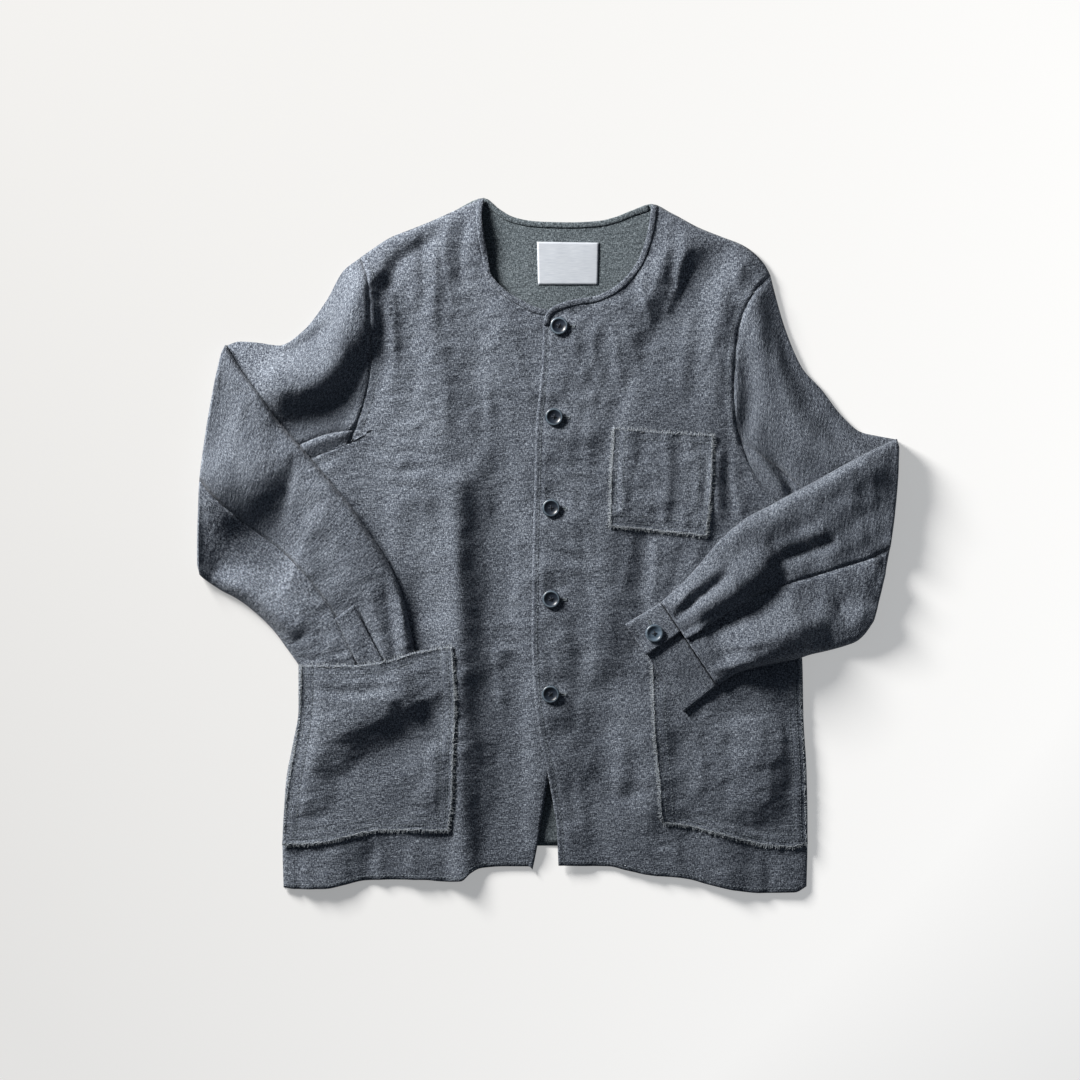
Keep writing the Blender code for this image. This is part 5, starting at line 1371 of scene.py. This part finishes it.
def fray(bm, line, under, outward, rng, spacing=0.6):
    """Loose yarns along a line: outward is 1 if outside is on its left, -1 if on its right."""
    line = resampled(line, 2.0)
    run = np.concatenate([[0], np.cumsum(np.linalg.norm(np.diff(line, axis=0), axis=1))])
    for at in np.arange(0, run[-1], spacing):
        spot, ahead, behind = (np.array([np.interp(here, run, line[:, k]) for k in (0, 1)])
                               for here in (at, min(at + 2, run[-1]), max(at - 2, 0)))
        along = (ahead - behind) / max(np.linalg.norm(ahead - behind), 1e-6)
        out = outward * np.array([-along[1], along[0]])
        pulled = rng.random() < PULLED_SHARE
        lean = rng.normal(0, 0.45)
        way = along * (1 if lean > 0 else -1) + 0.25 * out if pulled else out + lean * along
        way = way / np.linalg.norm(way)
        if pulled:
            length = rng.uniform(3.0, 7.0)
        else:
            length = rng.uniform(2.4, 4.4) * (1.4 if rng.random() < LONG_SHARE else 1)
        start = spot - rng.uniform(1.2, 2.6) * out + rng.normal(0, 0.3) * along
        end = start + length * way
        z = top_of(under, np.array([[start, end]]))[0]
        if min(z) < 0.3:
            continue
        high = z[0] + rng.uniform(0.15, 0.5)
        a, b = Vector((*start, high)), Vector((*end, max(z[1] + 0.3, high - rng.uniform(0, 0.8))))
        turn = (b - a).to_track_quat("Z", "Y").to_matrix().to_4x4()
        bmesh.ops.create_cone(bm, cap_ends=False, segments=3, radius1=0.3 * MM, radius2=0.14 * MM,
                              depth=(b - a).length * MM, matrix=Matrix.Translation((a + b) / 2 * MM) @ turn)


rng = np.random.default_rng(11)
for plan, name in PATCHES:
    under = BODY + [name + "_cloth", "sleeve_right_top_cloth", "sleeve_right_under_cloth"]
    fringe = bmesh.new()
    fray(fringe, raw_edge(plan), under, -1, rng)
    fray(fringe, plan[0], under, 1, rng, 1.5)
    loose = place_piece(name + "_fringe", fringe, PALE_THREAD)
    print(loose.name, len(loose.data.polygons) // 3, "yarns")

# %% [markdown]
# ## Floor and light
# A pale floor and one large soft light from the upper left, with a weak even light all round. The floor
# carries painted light: its colour is darker nearer the lamp, and it glows, more towards the upper right, so
# that it reads as evenly bright.
# The light stands low, because creases in a dark cloth only show when it grazes them.

# %% Floor
LAMP, LAMP_TARGET = (-1.16, 1.12, 0.66), (0.0, 0.05, 0.0)
LAMP_SIZE, LAMP_POWER, LAMP_COLOUR = 0.54, 88.0, (1.0, 0.975, 0.94)
FLOOR_SIZE, FLOOR_DROP = 12.0, 0.0002
floor_mesh = bmesh.new()
bmesh.ops.create_grid(floor_mesh, x_segments=1, y_segments=1, size=FLOOR_SIZE)
mesh = bpy.data.meshes.new("floor")
floor_mesh.to_mesh(mesh)
floor_mesh.free()
floor = bpy.data.objects.new("floor", mesh)
floor.location.z = -FLOOR_DROP
bpy.context.scene.collection.objects.link(floor)
pale, tree, shader = new_material("painted_light_floor")
place = linked(tree, "ShaderNodeTexCoord", {}).outputs["Object"]
# Painted light: the floor's colour is darker nearer the lamp, which cancels the lamp's falloff.
reach = linked(tree, "ShaderNodeVectorMath", {0: place, 1: LAMP}, operation="DISTANCE").outputs["Value"]
paler = mathed(tree, "MINIMUM", mathed(tree, "MULTIPLY", mathed(tree, "POWER", reach, 3.0), 0.087), 0.95)
# Painted light: the floor glows, more towards the upper right, though it is no lamp.
sides = linked(tree, "ShaderNodeSeparateXYZ", {0: place}).outputs
across = mathed(tree, "ADD", sides[0], sides[1])
glow = linked(tree, "ShaderNodeMapRange", {"Value": across, "From Min": -1.0, "From Max": 1.0,
                                           "To Min": 0.26, "To Max": 0.46})
tree.links.new(paler, shader.inputs["Base Color"])
tree.links.new(glow.outputs[0], shader.inputs["Emission Strength"])
shader.inputs["Roughness"].default_value = 0.9
shader.inputs["Emission Color"].default_value = (1.0, 1.0, 0.99, 1)
mesh.materials.append(pale)
print("floor:", 2 * FLOOR_SIZE, "m wide")

# %% [markdown]
# The world is a weak blue fill. The lamp is a square window at the upper left.

# %% World and light
world = bpy.data.worlds.new("studio")
bpy.context.scene.world = world
world.use_nodes = True
world.node_tree.nodes["Background"].inputs[0].default_value = (0.74, 0.85, 1.0, 1)
world.node_tree.nodes["Background"].inputs[1].default_value = 0.1
bpy.context.scene.view_settings.view_transform = "Standard"

light = bpy.data.lights.new("window", "AREA")
light.shape, light.size, light.energy, light.color = "SQUARE", LAMP_SIZE, LAMP_POWER, LAMP_COLOUR
key = bpy.data.objects.new("window", light)
bpy.context.scene.collection.objects.link(key)
key.location = LAMP
key.rotation_euler = (Vector(LAMP_TARGET) - Vector(LAMP)).to_track_quat("-Z", "Y").to_euler()
print("key light at", tuple(round(c, 2) for c in key.location))
